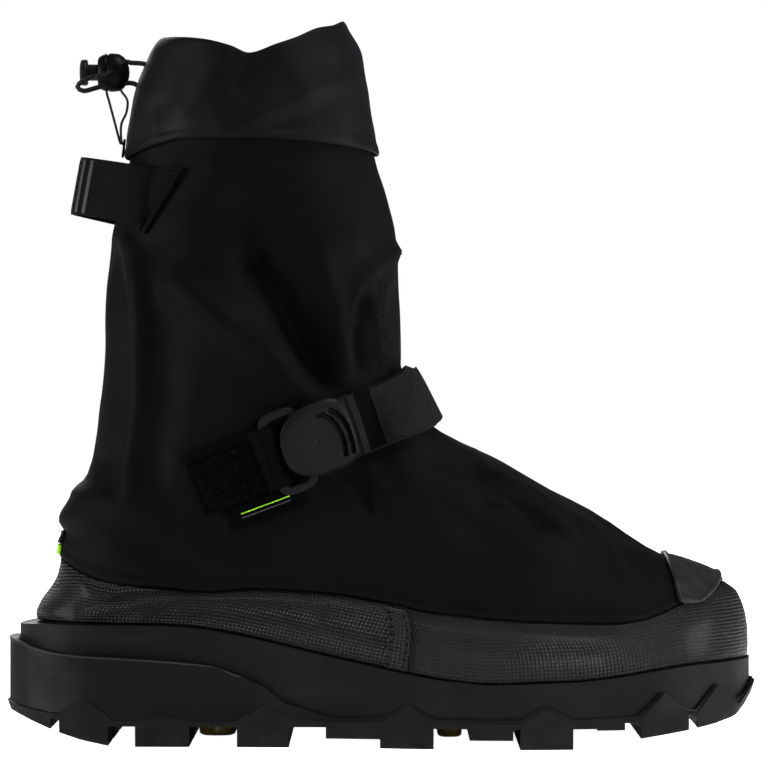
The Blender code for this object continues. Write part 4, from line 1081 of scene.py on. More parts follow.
def sheet(name, points, look, thickness, nodes=(), join=False, flip=False, angle=0):
    """Piece of cloth or webbing through rows of points on its outer face."""
    thing = piece_from(name, grid_form(points, join, flip), look, nodes, closed=False, angle=angle)
    thicken(thing, thickness)


def soften(thing, width, angle):
    edge = thing.modifiers.new("soft edges", "BEVEL")
    edge.width = width
    edge.segments = 2
    edge.limit_method = "ANGLE"
    edge.angle_limit = math.radians(angle)
    edge.use_clamp_overlap = True


def turn_angles(count, start=0.0, end=2 * math.pi):
    return [start + (end - start) * n / count for n in range(count + 1)]


def smooth_route(points, spacing):
    """Points read from a smooth curve through a route's own points."""
    places = [Vector(point) for point in points]
    padded = [places[0] * 2 - places[1]] + places + [places[-1] * 2 - places[-2]]
    fine = [places[0]]
    for a, b, c, d in zip(padded, padded[1:], padded[2:], padded[3:]):
        count = max(1, round((c - b).length / spacing))
        for n in range(1, count + 1):
            t = n / count
            part = 2 * b + (c - a) * t + (2 * a - 5 * b + 4 * c - d) * t**2 + (3 * b - a - 3 * c + d) * t**3
            fine.append(part / 2)
    return fine


def tube_form(route, diameter, around=12):
    """Round tube along a route, closed at its ends, with a UV map in metres."""
    points = []
    side = None
    for n, here in enumerate(route):
        before = route[max(0, n - 1)]
        after = route[min(len(route) - 1, n + 1)]
        along = (after - before).normalized()
        if side is None:
            side = along.orthogonal().normalized()
        side = (side - along * side.dot(along)).normalized()
        other = along.cross(side)
        ring = []
        for k in range(around + 1):
            angle = 2 * math.pi * k / around
            ring.append(here + (side * math.cos(angle) + other * math.sin(angle)) * (diameter / 2))
        points.append(ring)
    form = grid_form(points, join=True)
    rims = [edge for edge in form.edges if len(edge.link_faces) == 1]
    bmesh.ops.holes_fill(form, edges=rims, sides=0)
    return form


def stitch_row(name, points, normals):
    """Row of stitches along a line on the cloth, all in one piece."""
    length, thread = sizes().stitch, sizes().thread
    form = bmesh.new()
    travelled, wanted = 0.0, length / 2
    for (a, b), (na, nb) in zip(zip(points, points[1:]), zip(normals, normals[1:])):
        run = (b - a).length
        while travelled + run > wanted:
            share = (wanted - travelled) / run
            place = a.lerp(b, share)
            normal = na.lerp(nb, share).normalized()
            along = (b - a).normalized()
            across = normal.cross(along).normalized()
            turn = Matrix((along, across, normal)).transposed().to_4x4()
            size = Matrix.Diagonal((length * (1 - STITCH_GAP / 2) / thread, 1.0, 0.9, 1.0))
            bmesh.ops.create_uvsphere(
                form, u_segments=6, v_segments=4, radius=thread / 2,
                matrix=Matrix.Translation(place) @ turn @ size,
            )
            wanted += length * (1 + STITCH_GAP)
        travelled += run
    piece_from(name, form, "thread")


def normals_along(height, angles):
    low = cut_of_upper(height, angles, 0.0)
    high = cut_of_upper(height, angles, 0.001)
    return [(b - a).normalized() for a, b in zip(low, high)]


# Pieces


def make_cords():
    centre = lock_centre()
    for name, route, diameter, nodes in (
        ("drawcord", DRAW_ROUTE, CORD, ("drawcord_upper", "drawcord_lower", "drawcord_tail")),
        ("keeper_cord", KEEPER_ROUTE, KEEPER_CORD, ("keeper_rear", "keeper_front")),
    ):
        path = smooth_route([centre + Vector(place) * MM for place in route], diameter * 0.7)
        thing = piece_from(name, tube_form(path, diameter), "cord", nodes, angle=0)


def make_upper():
    angles = turn_angles(256)
    under = -HEM_STEP - FOXING - CLEARANCE
    rows = [
        (lambda x: sole_z(x) - CUP_DEPTH + 0.001, under),
        (foxing_height(0.0), under),
        (foxing_height(0.35), under),
        (foxing_height(0.7), under),
        (lambda x: hem_z(x) - 0.0011, under),
        (lambda x: hem_z(x) - 0.0003, under * 0.85),
        (lambda x: hem_z(x) - 0.0001, -0.0006),
    ]
    for up in HEM_ROWS:
        rows.append((lambda x, up=up: hem_z(x) + up, 0.0 if up > 0.0005 else -0.0002))
    place = 0.45
    while place < len(LEVELS) - 1:
        rows.append((level_height(place), 0.0))
        n = min(len(LEVELS) - 2, int(place))
        gap = (LEVELS[n + 1][0] - LEVELS[n][0]) * HEIGHT
        place += CLOTH_ROW / gap
    for top in (HEIGHT * 0.806, HEIGHT * 0.822, HEIGHT * CUFF_BOTTOM + CUFF_LAP):
        rows.append((lambda x, top=top: top, 0.0))

    def rise(point):
        up = point.z - hem_z(point.x)
        return cloth_rise(point) * smooth(0.0, 0.008, up) + hem_rise(point) if up > -0.0005 else 0.0

    points = [cut_of_upper(height, angles, out, rise) for height, out in rows]
    sheet("upper_cloth", points, "cloth", WALL, ("upper",), join=True)

    fine = turn_angles(420)
    for name, up in zip(("hem_stitches_low", "hem_stitches_high"), HEM_STITCHES):
        def height(x, up=up):
            return hem_z(x) + up

        line = cut_of_upper(height, fine, 0.0002, rise)
        stitch_row(name, line, normals_along(height, fine))
    make_front_seam()


def make_front_seam():
    """Two rows of stitches down the front of the shaft, on the outer side."""
    for n, shift in enumerate(SEAM_ROWS):
        line, normals = [], []
        for place in smooth_route([(x * MM, 0.0, z * MM) for x, z in SEAM_ROUTE], 0.0008):
            point, normal = side_point(place.x + shift, place.z)
            line.append(point + normal * (cloth_rise(point) + 0.0001))
            normals.append(normal)
        stitch_row(f"front_seam_stitches_{n}", line, normals)


def make_foxing():
    quarter = math.pi / 2
    shares = [n / 18 for n in range(19)]

    def band(start, end, count, swell):
        points = []
        for share in shares:
            if share < 0.5:
                out = swell[0] + (swell[1] - swell[0]) * smooth(0.0, 0.5, share)
            else:
                out = swell[1] + (swell[2] - swell[1]) * smooth(0.5, 1.0, share)

            def height(x, share=share):
                low = sole_z(x) + 0.0006
                return low + (hem_z(x) - 0.0009 - low) * share

            def rise(point, share=share):
                fade = smooth(-0.1, 0.1, share) * (1 - smooth(0.8, 1.0, share))
                return fold_rise(point, FOXING_FOLDS) * fade

            points.append(cut_of_upper(height, turn_angles(count, start, end), HEM_STEP * (out - 1), rise))
        return points

    rear = band(-quarter, quarter, 128, (-0.3, 0.6, 0.0))
    front = band(quarter + 0.002, 3 * quarter - 0.002, 144, (-0.2, 0.2, 0.0))
    for name, points in (("foxing_rear", rear), ("foxing_front", front)):
        sheet(name + "_weave", points, "foxing", FOXING * 0.9, (name,))
    for name, angle in (("outer", quarter), ("inner", -quarter)):
        # Doubled edge where the two lengths of the band are joined
        points = []
        for share in shares:
            height = foxing_height(0.03 + share * 0.90)
            points.append(cut_of_upper(height, [angle - 0.030 + 0.012 * n for n in range(6)], 0.0004))
        sheet(f"foxing_seam_{name}", points, "foxing", HEM_STEP)
        for edge in (-0.024, 0.022):
            line, normals = [], []
            for n in range(25):
                height = foxing_height(0.05 + n / 24 * 0.86)
                line += cut_of_upper(height, [angle + edge], 0.0006)
                normals += normals_along(height, [angle + edge])
            side = "rear" if edge < 0 else "front"
            stitch_row(f"foxing_stitches_{name}_{side}", line, normals)


def make_cuff():
    angles = turn_angles(256)
    profile = [(share, CUFF_PROUD * proud + CUFF_ROLL * roll) for share, proud, roll in CUFF_PROFILE]
    shares = [0.0, 0.006, 0.014, 0.024, 0.036, 0.05, 0.065, 0.08, 0.10]
    shares += [0.12 + 0.86 * n / 34 for n in range(35)]
    shares += [0.988, 0.995, 1.0]

    def rise(point):
        bottom = cuff_hem_z(point.x)
        share = (point.z - bottom) / max(0.01, cuff_top_z(point.x) - bottom)
        wave = noise.noise(Vector(point) * 34.0 + Vector((3, 9, 2))) * 1.0
        wave += noise.noise(Vector(point) * 90.0) * 0.35
        folds = fold_rise(point, CUFF_FOLDS) + wave * MM * sizes().fold_depth
        return folds * smooth(-0.02, 0.10, share) * (1 - 0.6 * smooth(0.85, 1.0, share))

    points = []
    for share in shares:
        def height(x, share=share):
            return cuff_hem_z(x) * (1 - share) + cuff_top_z(x) * share

        points.append(cut_of_upper(height, angles, CLEARANCE + between(profile, share), rise))
    sheet("cuff_ripstop", points, "ripstop", CUFF_WALL * 0.9, ("cuff",), join=True)


def strap_height(across):
    rise = across * math.sqrt(1 + STRAP_SLOPE**2)
    return lambda x: STRAP_LEVEL + STRAP_SLOPE * x + rise


def woven_edge(share):
    """Webbing is a little thinner at its two edges."""
    return -0.0004 * smooth(0.86, 1.0, abs(share))


def make_instep_strap():
    back, front = ends(strap_height(0.0))

    def angle_at(x):
        return math.acos(1 - 2 * (x - back) / (front - back))

    start = angle_at(strap_place(INSTEP_START, 0.0)[0])
    end = 2 * math.pi - angle_at(INSTEP_END * LENGTH)
    points = []
    for share in ACROSS:
        height = strap_height(share * STRAP_WIDTH / 2)
        out = STRAP_LIFT + STRAP + woven_edge(share)
        points.append(cut_of_upper(height, turn_angles(160, start, end), out))
    sheet("instep_webbing", points, "webbing", STRAP, ("instep_strap",))
    make_outer_layer(angle_at(strap_place(LAYER_START, 0.0)[0]))
    make_pleats(STRAP_WIDTH / 2, STRAP_LIFT + STRAP)


def make_outer_layer(start):
    """Outer layer of the webbing, which stands off the instep, and its sewn end beside the lever."""
    end = 2 * math.pi - start
    points = []
    for share in ACROSS:
        height = strap_height(share * STRAP_WIDTH * 1.03 / 2)
        row = []
        for angle in turn_angles(100, start, end):
            proud = smooth(0.0, 0.10, angle - start)
            proud *= 1 - smooth(0.5, 0.9, (angle - start) / (end - start))
            stand = STRAP_LIFT + OUTER_LAYER + LAYER_STAND * proud + woven_edge(share)
            row += cut_of_upper(height, [angle], stand)
        points.append(row)
    form = grid_form(points)
    for _ in range(12):
        bmesh.ops.smooth_vert(
            form, verts=form.verts, factor=0.5, use_axis_x=True, use_axis_y=True, use_axis_z=True,
        )
    thicken(piece_from("instep_webbing_layer", form, "webbing", closed=False, angle=0), STRAP)
    for n, shift in enumerate(LAYER_SEAMS):
        line, normals = [], []
        for k in range(21):
            height = strap_height((-0.44 + 0.88 * k / 20) * STRAP_WIDTH)
            line += cut_of_upper(height, [start + shift], STRAP_LIFT + OUTER_LAYER + CLEARANCE)
            normals += normals_along(height, [start + shift])
        stitch_row(f"instep_stitches_{n}", line, normals)


def make_pleats(half, lift):
    """Folded layers that come out from under the lever, and a dark sheet beside them that is the strap's
    painted shadow.
    """

    def pleats(a, b):
        return 0.0007 * abs(math.sin(2.5 * math.pi * (a + 1) / 2)) - 0.0010 * smooth(0.5, 1.0, a)

    side_sheet("instep_pleats", PLEAT_SPAN, (-half * 0.98, half * 0.98), lift, PLEAT, "webbing",
               columns=42, rows=20, shape=pleats)
    # Dark sheet in the tail's webbing colour: painted shadow of the strap beside the pleats
    side_sheet("instep_painted_shadow", SHADOW_BAND_SPAN, (-half * 0.97, half * 1.10), lift, SHADOW_BAND, "tail webbing",
               columns=20, rows=20)


def side_sheet(name, span, width, lift, thickness, look, nodes=(), columns=40, rows=24, shape=None):
    """Sheet that lies on the outer side along the strap."""
    points = []
    for i in range(rows + 1):
        b = width[0] + (width[1] - width[0]) * i / rows
        row = []
        for j in range(columns + 1):
            a = span[0] + (span[1] - span[0]) * j / columns
            extra = shape(2 * j / columns - 1, 2 * i / rows - 1) if shape else 0.0
            row.append(side_point(*strap_place(a, b), lift + thickness + extra)[0])
        points.append(row)
    sheet(name, points, look, thickness, nodes)


def side_line(name, places, lift):
    """Stitches along a line of places on the strap, each along it and across it."""
    line, normals = [], []
    for (a0, b0), (a1, b1) in zip(places, places[1:]):
        for n in range(12):
            share = n / 12
            point, normal = side_point(*strap_place(a0 + (a1 - a0) * share, b0 + (b1 - b0) * share), lift)
            line.append(point)
            normals.append(normal)
    point, normal = side_point(*strap_place(*places[-1]), lift)
    stitch_row(name, line + [point], normals + [normal])


def make_strap_tail():
    rear = TAIL_SPAN[0]
    half = STRAP_WIDTH / 2
    side_sheet("strap_tail_webbing", TAIL_SPAN, (-half, half), CLEARANCE, STRAP, "tail webbing",
               ("strap_tail",), columns=60, shape=lambda a, b: woven_edge(b))
    top = CLEARANCE + STRAP

    def tuft(a, b):
        edge = -0.0006 * (smooth(0.9, 1.0, abs(a)) + smooth(0.9, 1.0, abs(b)))
        return edge + 0.00035 * noise.noise(Vector((a * 34, b * 22, 0.0)))

    side_sheet("strap_pile_loops", PILE_SPAN, (-half + 0.001, half - 0.005), top + CLEARANCE, PILE, "pile",
               ("strap_pile",), columns=110, rows=80, shape=tuft)
    # Turned edges of the webbing beside the pile
    for name, low, high in (
        ("upper", half - 0.0046, half - 0.0004),
        ("lower", -half - 0.0002, -half + 0.0010),
    ):
        side_sheet(f"strap_tail_binding_{name}", (rear, BINDING_FRONT), (low, high), top + THREAD_LIFT,
                   BINDING, "tail webbing", columns=50, rows=6)
    make_tail_turn(half)
    inset = 0.0015
    seam = ((rear + inset, inset - half), (rear + inset, half - inset))
    side_line("tail_stitches", seam, top + THREAD_LIFT)
    make_side_label(half)


def make_side_label(half):
    """Label under the tail, with two plain stripes and a seam all round."""
    low, high = (drop - half for drop in LABEL_HEIGHT)
    side_sheet("side_label_tape", LABEL_SPAN, (low, high), CLEARANCE, LABEL, "tail webbing",
               ("side_label",), columns=50, rows=14)
    for name, look, slot, drops in (
        ("lime", "lime", "lime", (0.0041, 0.0036)),
        ("grey", "grey tape", "label", (0.0060, 0.0054)),
    ):
        side_sheet(f"label_stripe_{name}", STRIPE_SPAN, [high - drop for drop in drops], CLEARANCE + LABEL,
                   STRIPE, look, columns=40, rows=2)
    left, right = LABEL_SPAN[0] + LABEL_EDGE, LABEL_SPAN[1] - LABEL_EDGE
    low, high = low + LABEL_EDGE, high - LABEL_EDGE
    ring = ((left, low), (right, low), (right, high), (left, high), (left, low))
    side_line("label_stitches", ring, CLEARANCE + LABEL + THREAD_LIFT)


def make_tail_turn(half):
    """Webbing that passes from the tail over the rear bar of the buckle's frame and goes down inside it."""
    matrix = buckle_matrix(0.0)
    line = smooth_route([(a * MM, 0.0, up * MM) for a, up in TURN_ROUTE], 0.0004)
    points = []
    for n in range(25):
        share = n / 12 - 1
        b = share * (half - 0.0002)
        row = []
        for place in line:
            flat = matrix @ Vector((place.x, b, place.z + woven_edge(share)))
            laid = side_point(*strap_place(place.x, b), place.z + woven_edge(share))[0]
            row.append(laid.lerp(flat, smooth(-0.0276, -0.0258, place.x)))
        points.append(row)
    sheet("strap_tail_turn", points, "tail webbing", TURN)


def power_of(value, power):
    """A power that keeps the sign, for rounded boxes."""
    return math.copysign(abs(value) ** power, value)


def make_buckle_frame(matrix):
    half_a, half_b = (FRAME_LENGTH - FRAME_BAR) / 2, (FRAME_WIDTH - FRAME_BAR) / 2
    points = []
    for turn in turn_angles(96):
        corner_a, corner_b = power_of(math.cos(turn), 0.42), power_of(math.sin(turn), 0.42)
        normal = Vector((corner_a, corner_b, 0.0)).normalized()
        middle = Vector((FRAME_MIDDLE + corner_a * half_a, corner_b * half_b, FRAME / 2))
        ring = []
        for angle in turn_angles(16):
            wide = power_of(math.cos(angle), 0.7) * FRAME_BAR / 2
            tall = power_of(math.sin(angle), 0.7) * FRAME / 2
            ring.append(matrix @ (middle + normal * wide + Vector((0.0, 0.0, tall))))
        points.append(ring)
    piece_from("buckle_frame_moulded", grid_form(points, join=True), "buckle", ("buckle_frame",))


def lever_edge(turn):
    """Point of the lever's outline, along the strap and across it."""
    c, s = math.cos(turn), math.sin(turn)
    long, power = (LEVER_LENGTH * 0.45, 0.40) if c > 0 else (LEVER_LENGTH * 0.55, 0.92)
    wide = LEVER_WIDTH * (0.49 if s > 0 else 0.44)
    return long * power_of(c, power), wide * power_of(s, 0.80)


def lever_top(a, b, share):
    """Height of the lever's top, with its slots and the small mark of its mould."""
    height = LEVER * (1 - 0.42 * share**3.2)
    height -= 0.0005 * (1 - smooth(0.0, 0.55, share))
    for half, depth, line in LEVER_SLOTS:
        off = off_crest(a / MM, b / MM, line)
        height -= depth * MM * (1 - smooth(half * 0.75, half * 1.25, off))
    return height - 0.0006 * math.exp(-((math.hypot(a + 0.0023, b - 0.0002) / 0.0008) ** 2))


def make_buckle_lever(matrix):
    radial, around = 44, 144
    rim = (
        # share of the height, scale of the outline
        (0.86, 1.006), (0.62, 1.010), (0.36, 1.010), (0.10, 1.000), (0.0, 0.97), (0.0, 0.004),
    )
    outline = [turn + 0.5 * math.pi / around for turn in turn_angles(around)]
    points = []
    for i in range(radial + 1):
        share = max(0.002, i / radial)
        row = []
        for turn in outline:
            a, b = (value * share for value in lever_edge(turn))
            row.append(Vector((a, b, lever_top(a, b, share) - 0.0006 * smooth(0.90, 1.0, share))))
        points.append(row)
    # The rim goes down to the underside, and the lower edge at the tail has grip nubs
    for n, (drop, scale) in enumerate(rim):
        row = []
        for turn, base in zip(turn_angles(around), outline):
            a, b = lever_edge(base)
            nub = 0.0
            if n < 4 and math.cos(turn) < -0.05 and math.sin(turn) < -0.25:
                nub = 0.00045 * max(0.0, math.sin(turn * 52))
            place = Vector((a * scale, b * scale, (lever_top(a, b, 1.0) - 0.0006) * drop))
            row.append(place + Vector((a, b, 0.0)).normalized() * nub)
        points.append(row)
    form = grid_form([[matrix @ place for place in row] for row in points], join=True)
    rims = [edge for edge in form.edges if len(edge.link_faces) == 1]
    bmesh.ops.holes_fill(form, edges=rims, sides=0)
    piece_from("buckle_lever_moulded", form, "buckle", ("buckle_lever",), angle=50)


def make_buckle():
    lift = STRAP_LIFT + STRAP
    matrix = buckle_matrix(0.0)
    make_buckle_frame(matrix @ Matrix.Translation((0.0, 0.0, lift)))
    make_buckle_lever(matrix @ Matrix.Translation((0.0, 0.0, lift + FRAME + CLEARANCE)))


def loop_route():
    """Middle of the webbing seen from above, from its outer end round the back to its inner end."""
    lift = LOOP_LIFT + LOOP / 2
    back = back_x(LOOP_LEVEL)
    side_x = back + LOOP_SIDE
    press_x = side_x - LOOP_PRESS
    reach = back - LOOP_BACK
    start_y = half_width(side_x, LOOP_LEVEL) + lift
    half = (
        (side_x, -start_y),
        (press_x, -half_width(press_x, LOOP_LEVEL) - lift),
        (back + 0.006, -start_y * 0.74),
        (back - 0.008, -start_y * 0.46),
        (reach + 0.002, -start_y * 0.20),
        (reach, 0.0),
    )
    route = list(half) + [(x, -y) for x, y in reversed(half[:-1])]
    return smooth_route([(x, y, 0.0) for x, y in route], LOOP_STEP)


def make_pull_loop():
    lift = LOOP_LIFT + LOOP / 2
    back = back_x(LOOP_LEVEL)
    route = loop_route()
    points = []
    for share in LOOP_ROWS:
        row = []
        for n, here in enumerate(route):
            before = route[max(0, n - 1)]
            after = route[min(len(route) - 1, n + 1)]
            along = (after - before).normalized()
            out = Vector((along.y, -along.x, 0.0)) * (LOOP / 2 + woven_edge(share * 2) * 0.7)
            lean = (back - here.x) / LOOP_BACK * LOOP_LEAN
            # Both sewn ends are cut at a slant and lie on the shaft's sides
            end = 1 - smooth(0.0, LOOP_END, min(n, len(route) - 1 - n) * LOOP_STEP)
            cut = (0.5 - share) * LOOP_SLANT * end + LOOP_SHORT * end
            rise = LOOP_LEVEL + lean + LOOP_END_RISE * end * (0.5 + share)
            place = Vector((here.x + share * LOOP_WIDTH * 0.18 - cut, here.y, rise + share * LOOP_WIDTH))
            on_side = 1 - smooth(0.0, 0.007, back + LOOP_SIDE - LOOP_PRESS - here.x)
            width = half_width(place.x, place.z) + lift
            if on_side > 0:
                place.y += (math.copysign(width, here.y) - here.y) * on_side
            row.append(place - out)
        points.append(row)
    sheet("pull_loop_webbing", points, "shaded loop webbing", LOOP, ("pull_loop",), flip=True)
    make_loop_stripes(points)
    make_loop_stitches(points)


def make_loop_stripes(points):
    """Two plain stripes round the loop's fold."""
    middle = (len(points[0]) - 1) // 2
    for n, column in enumerate((middle - 16, middle - 11)):
        stripe = []
        for lower, upper in zip(points[2:-2], points[3:-1]):
            row = []
            for j in range(column, column + 3):
                here = lower[j]
                normal = (upper[j] - here).cross(lower[j + 1] - here).normalized()
                row.append(here + normal * math.copysign(0.0003, normal.y * here.y + 1e-9))
            stripe.append(row)
        sheet(f"loop_stripe_{n}", stripe, "grey tape", STRIPE, flip=True)


def make_loop_stitches(points):
    """Two seams across each end of the loop."""
    for side, column, step in (("outer", 0, 1), ("inner", len(points[0]) - 1, -1)):
        for n, shift in enumerate((2, 4)):
            line, normals = [], []
            for lower, upper in zip(points[2:-2], points[3:-1]):
                here = lower[column + step * shift]
                ahead = lower[column + step * (shift + 1)]
                normal = (upper[column + step * shift] - here).cross(ahead - here).normalized()
                if normal.y * here.y < 0:
                    normal = -normal
                line.append(here + normal * 0.0001)
                normals.append(normal)
            stitch_row(f"loop_stitches_{side}_{n}", line, normals)


def make_cord_lock():
    centre = lock_centre()
    for name, rows, tall, look, node, body in (
        ("lock_body_moulded", LOCK_BODY, LOCK_SIZE[2] / LOCK_SIZE[1], "lock", "lock_body", "shoe"),
        ("lock_button_moulded", LOCK_BUTTON, 1.0, "button", "lock_button", "button"),
    ):
        form = bmesh.new()
        verts = [form.verts.new((a * MM, 0.0, r * MM)) for a, r in rows]
        edges = [form.edges.new(pair) for pair in zip(verts, verts[1:])]
        bmesh.ops.spin(
            form, geom=verts + edges, cent=(0, 0, 0), axis=(1, 0, 0), angle=2 * math.pi, steps=48,
            use_merge=True,
        )
        bmesh.ops.remove_doubles(form, verts=form.verts, dist=1e-6)
        place = Matrix.Translation(centre) @ Matrix.Diagonal((1.0, 1.0, tall, 1.0))
        bmesh.ops.transform(form, matrix=place, verts=form.verts)
        thing = piece_from(name, form, look, (node,), body, angle=35)
        soften(thing, 0.0003, 50)


def make_toe_patch():
    points = []
    count = 64
    for i in range(count + 1):
        side = math.sin(math.pi * (i / count - 0.5))
        rear = LENGTH * between(PATCH_EDGES, abs(side), 1) + 0.0015
        front = LENGTH * between(PATCH_EDGES, abs(side), 2) - 0.0012
        row = []
        for j in range(41):
            x = rear + (front - rear) * j / 40
            half = PATCH_SHARE * toe_half_width(x)
            inward = min(x - rear, front - x, half * (1 - abs(side)) * 1.2)
            rim = PATCH_RIM * (1 - smooth(0.0016, 0.0030, inward))
            edge = -0.0009 * (1 - smooth(0.0, 0.0011, inward))
            row.append(top_point(x, side * half, PATCH_LIFT + PATCH + rim + edge))
        points.append(row)
    sheet("toe_patch_moulded", points, "patch", PATCH + PATCH_BACKING, ("toe_patch",), angle=50)


def make_tab(name, level, span, count, angles, lift, thickness, look, nodes=()):
    """Level strip of tape or webbing on the cloth, between two heights over a level."""
    low, high = level + span[0], level + span[1]
    rows = [low + (high - low) * n / count for n in range(count + 1)]
    points = [cut_of_upper(lambda x, z=z: z, angles, lift + thickness) for z in rows]
    sheet(name, points, look, thickness, nodes)


def make_heel_tabs():
    make_tab("heel_tab_tape", TAB_LEVEL, LIME_TAB_SPAN, 6, turn_angles(12, -0.1665, 0.1665), CLEARANCE, TAB,
             "lime", ("heel_tab",))
    make_tab("heel_tab_grey", TAB_LEVEL, GREY_TAB_SPAN, 6, turn_angles(12, -0.15, 0.15), CLEARANCE, GREY_TAB,
             "webbing")
    make_tab("keeper_tab_webbing", HEIGHT * CUFF_BOTTOM, KEEPER_TAB_SPAN, 8, turn_angles(8, -0.02, 0.08),
             2 * CLEARANCE + CUFF_PROUD + CUFF_ROLL, KEEPER_TAB, "webbing", ("keeper_tab",))


def merged_copy(name, node, look, width):
    """Copy of a solid with its doubles merged, its edges softened and a finish of its own."""
    form = bmesh.new()
    form.from_mesh(bpy.data.objects[node].data)
    bmesh.ops.remove_doubles(form, verts=form.verts, dist=1e-6)
    bmesh.ops.dissolve_limit(form, angle_limit=math.radians(0.5), verts=form.verts, edges=form.edges)
    soften(piece_from(name, form, look, (node,), angle=32), width, 32)


def make_cup_lip_highlight():
    """Light bead along the top of the heel cup, from one side round the heel to the other: a painted
    highlight where light catches the lip.
    """
    mesh = bpy.data.objects["outsole"].data
    faces = [tuple(face.vertices) for face in mesh.polygons]
    wall = BVHTree.FromPolygons([vert.co.copy() for vert in mesh.vertices], faces)
    middle = Vector((LIP_CENTRE, 0.0, 0.0))
    route = []
    for turn in turn_angles(180, *(math.radians(limit) for limit in LIP_TURN)):
        away = Vector((math.cos(turn), math.sin(turn), 0.0))
        x = middle.x + away.x * 0.05
        found = None
        # The height of the edge depends on where the wall is, so each try starts from the last one
        for _ in range(12):
            level = cup_z(x)
            for drop in (0.0004, 0.0010, 0.0018, 0.0030):
                start = middle + away * 0.3 + Vector((0.0, 0.0, level - drop))
                hit = wall.ray_cast(start, -away)[0]
                if hit and (hit - start).length < 0.29:
                    found = Vector((hit.x, hit.y, level - 0.0001)) - away * 0.0002
                    break
            if found:
                x = (x + found.x) / 2
        if found:
            route.append(found)
    piece_from("heel_cup_lip_highlight", tube_form(smooth_route(route, 0.002), LIP, 8), "lip", angle=0)


def make_sole():
    merged_copy("outsole_rubber", "outsole", "rubber", 0.0005)
    merged_copy("midsole_rubber", "midsole", "rubber", 0.0008)
    make_cup_lip_highlight()
    merged_copy("grip_pad_heel_amber", "grip_pad_heel", "amber", 0.0003)
    merged_copy("grip_pad_forefoot_amber", "grip_pad_forefoot", "amber", 0.0003)
    insole = bpy.data.objects["insole"]
    insole.data.materials.clear()
    insole.data.materials.append(finish("foam"))


def place_lamp(name, light, place, target):
    lamp = bpy.data.objects.new(name, light)
    lamp.location = place
    lamp.rotation_euler = (Vector(target) - Vector(place)).to_track_quat("-Z", "Y").to_euler()
    bpy.context.scene.collection.objects.link(lamp)


def make_floor():
    form = bmesh.new()
    bmesh.ops.create_grid(form, x_segments=2, y_segments=2, size=8.0)
    data = bpy.data.meshes.new("floor_paper")
    form.to_mesh(data)
    form.free()
    data.shade_smooth()
    floor = bpy.data.objects.new("floor_paper", data)
    bpy.context.scene.collection.objects.link(floor)
    paper = bpy.data.materials.new("White paper")
    paper.use_nodes = True
    shader = paper.node_tree.nodes["Principled BSDF"]
    shader.inputs["Base Color"].default_value = (0.92, 0.92, 0.92, 1.0)
    shader.inputs["Roughness"].default_value = 0.9
    shader.inputs["Specular IOR Level"].default_value = 0.0
    shader.inputs["Emission Color"].default_value = (1.0, 1.0, 1.0, 1.0)
    shader.inputs["Emission Strength"].default_value = 1.0
    data.materials.append(paper)
    # The white of the paper reaches the lens, and its glow doesn't fill the folds of the black cloth
    paper_only = bpy.data.collections.new("paper only")
    paper_only.objects.link(floor)
    floor.light_linking.receiver_collection = paper_only


def make_world():
    """Surroundings that are white to the lens and dim to the shoe."""
    world = bpy.context.scene.world or bpy.data.worlds.new("studio")
    bpy.context.scene.world = world
    world.use_nodes = True
    tree = world.node_tree
    background = tree.nodes["Background"]
    background.inputs["Color"].default_value = (1.0, 1.0, 1.0, 1.0)
    path = tree.nodes.new("ShaderNodeLightPath")
    level = tree.nodes.new("ShaderNodeMapRange")
    level.inputs["To Min"].default_value = 0.08
    level.inputs["To Max"].default_value = 1.0
    tree.links.new(path.outputs["Is Camera Ray"], level.inputs["Value"])
    tree.links.new(level.outputs["Result"], background.inputs["Strength"])


def make_lamps():
    for name, place, target, size, power in (
        ("left", (-1.50, -0.32, 0.40), (0.0, 0.0, 0.14), 0.5, 19.0),
        ("right", (1.5, -0.20, 0.35), (0.0, 0.0, 0.10), 0.4, 14.0),
        ("top", (0.50, -0.28, 1.35), (0.10, 0.0, 0.0), 0.6, 13.0),
        ("behind", (-0.4, 1.6, 0.9), (0.0, 0.0, 0.12), 0.8, 16.0),
    ):
        light = bpy.data.lights.new(name, "AREA")
        light.shape = "SQUARE"
        light.size = size
        light.energy = power
        place_lamp(name, light, place, target)
    # Low and narrow light on the foot, which leaves the shaft's folds dark
    light = bpy.data.lights.new("foot", "SPOT")
    light.energy = 17.0
    light.spot_size = math.radians(24)
    light.spot_blend = 1.0
    light.shadow_soft_size = 0.15
    place_lamp("foot", light, (0.45, -1.2, 0.25), (0.06, 0.0, 0.035))


def make_stage():
    make_floor()
    make_world()
    make_lamps()
    scene = bpy.context.scene
    lens = bpy.data.cameras.new("camera")
    lens.lens = 159.6
    lens.sensor_width = 36.0
    camera = bpy.data.objects.new("camera", lens)
    camera.location = (0.0007, -1.5, 0.155)
    camera.rotation_euler = (math.pi / 2, 0.0, 0.0)
    scene.collection.objects.link(camera)
    scene.camera = camera
    scene.view_settings.view_transform = "Standard"


class MakeStage(bpy.types.Operator):
    """Lays the white floor, the studio lights and the camera."""

    bl_idname = "overshoe.stage"
    bl_label = "Stage and camera"

    def execute(self, context):
        make_stage()
        return {"FINISHED"}


class MakeCords(bpy.types.Operator):
    """Threads the cuff's drawcord and the keeper cord."""

    bl_idname = "overshoe.cords"
    bl_label = "Cords"

    def execute(self, context):
        make_cords()
        return {"FINISHED"}


class MakeUpper(bpy.types.Operator):
    """Sews the cloth upper with its folds, hem and front seam."""

    bl_idname = "overshoe.upper"
    bl_label = "Upper"

    def execute(self, context):
        make_upper()
        return {"FINISHED"}


class MakeFoxing(bpy.types.Operator):
    """Lays the coarse band between the sole and the hem."""

    bl_idname = "overshoe.foxing"
    bl_label = "Foxing"

    def execute(self, context):
        make_foxing()
        return {"FINISHED"}


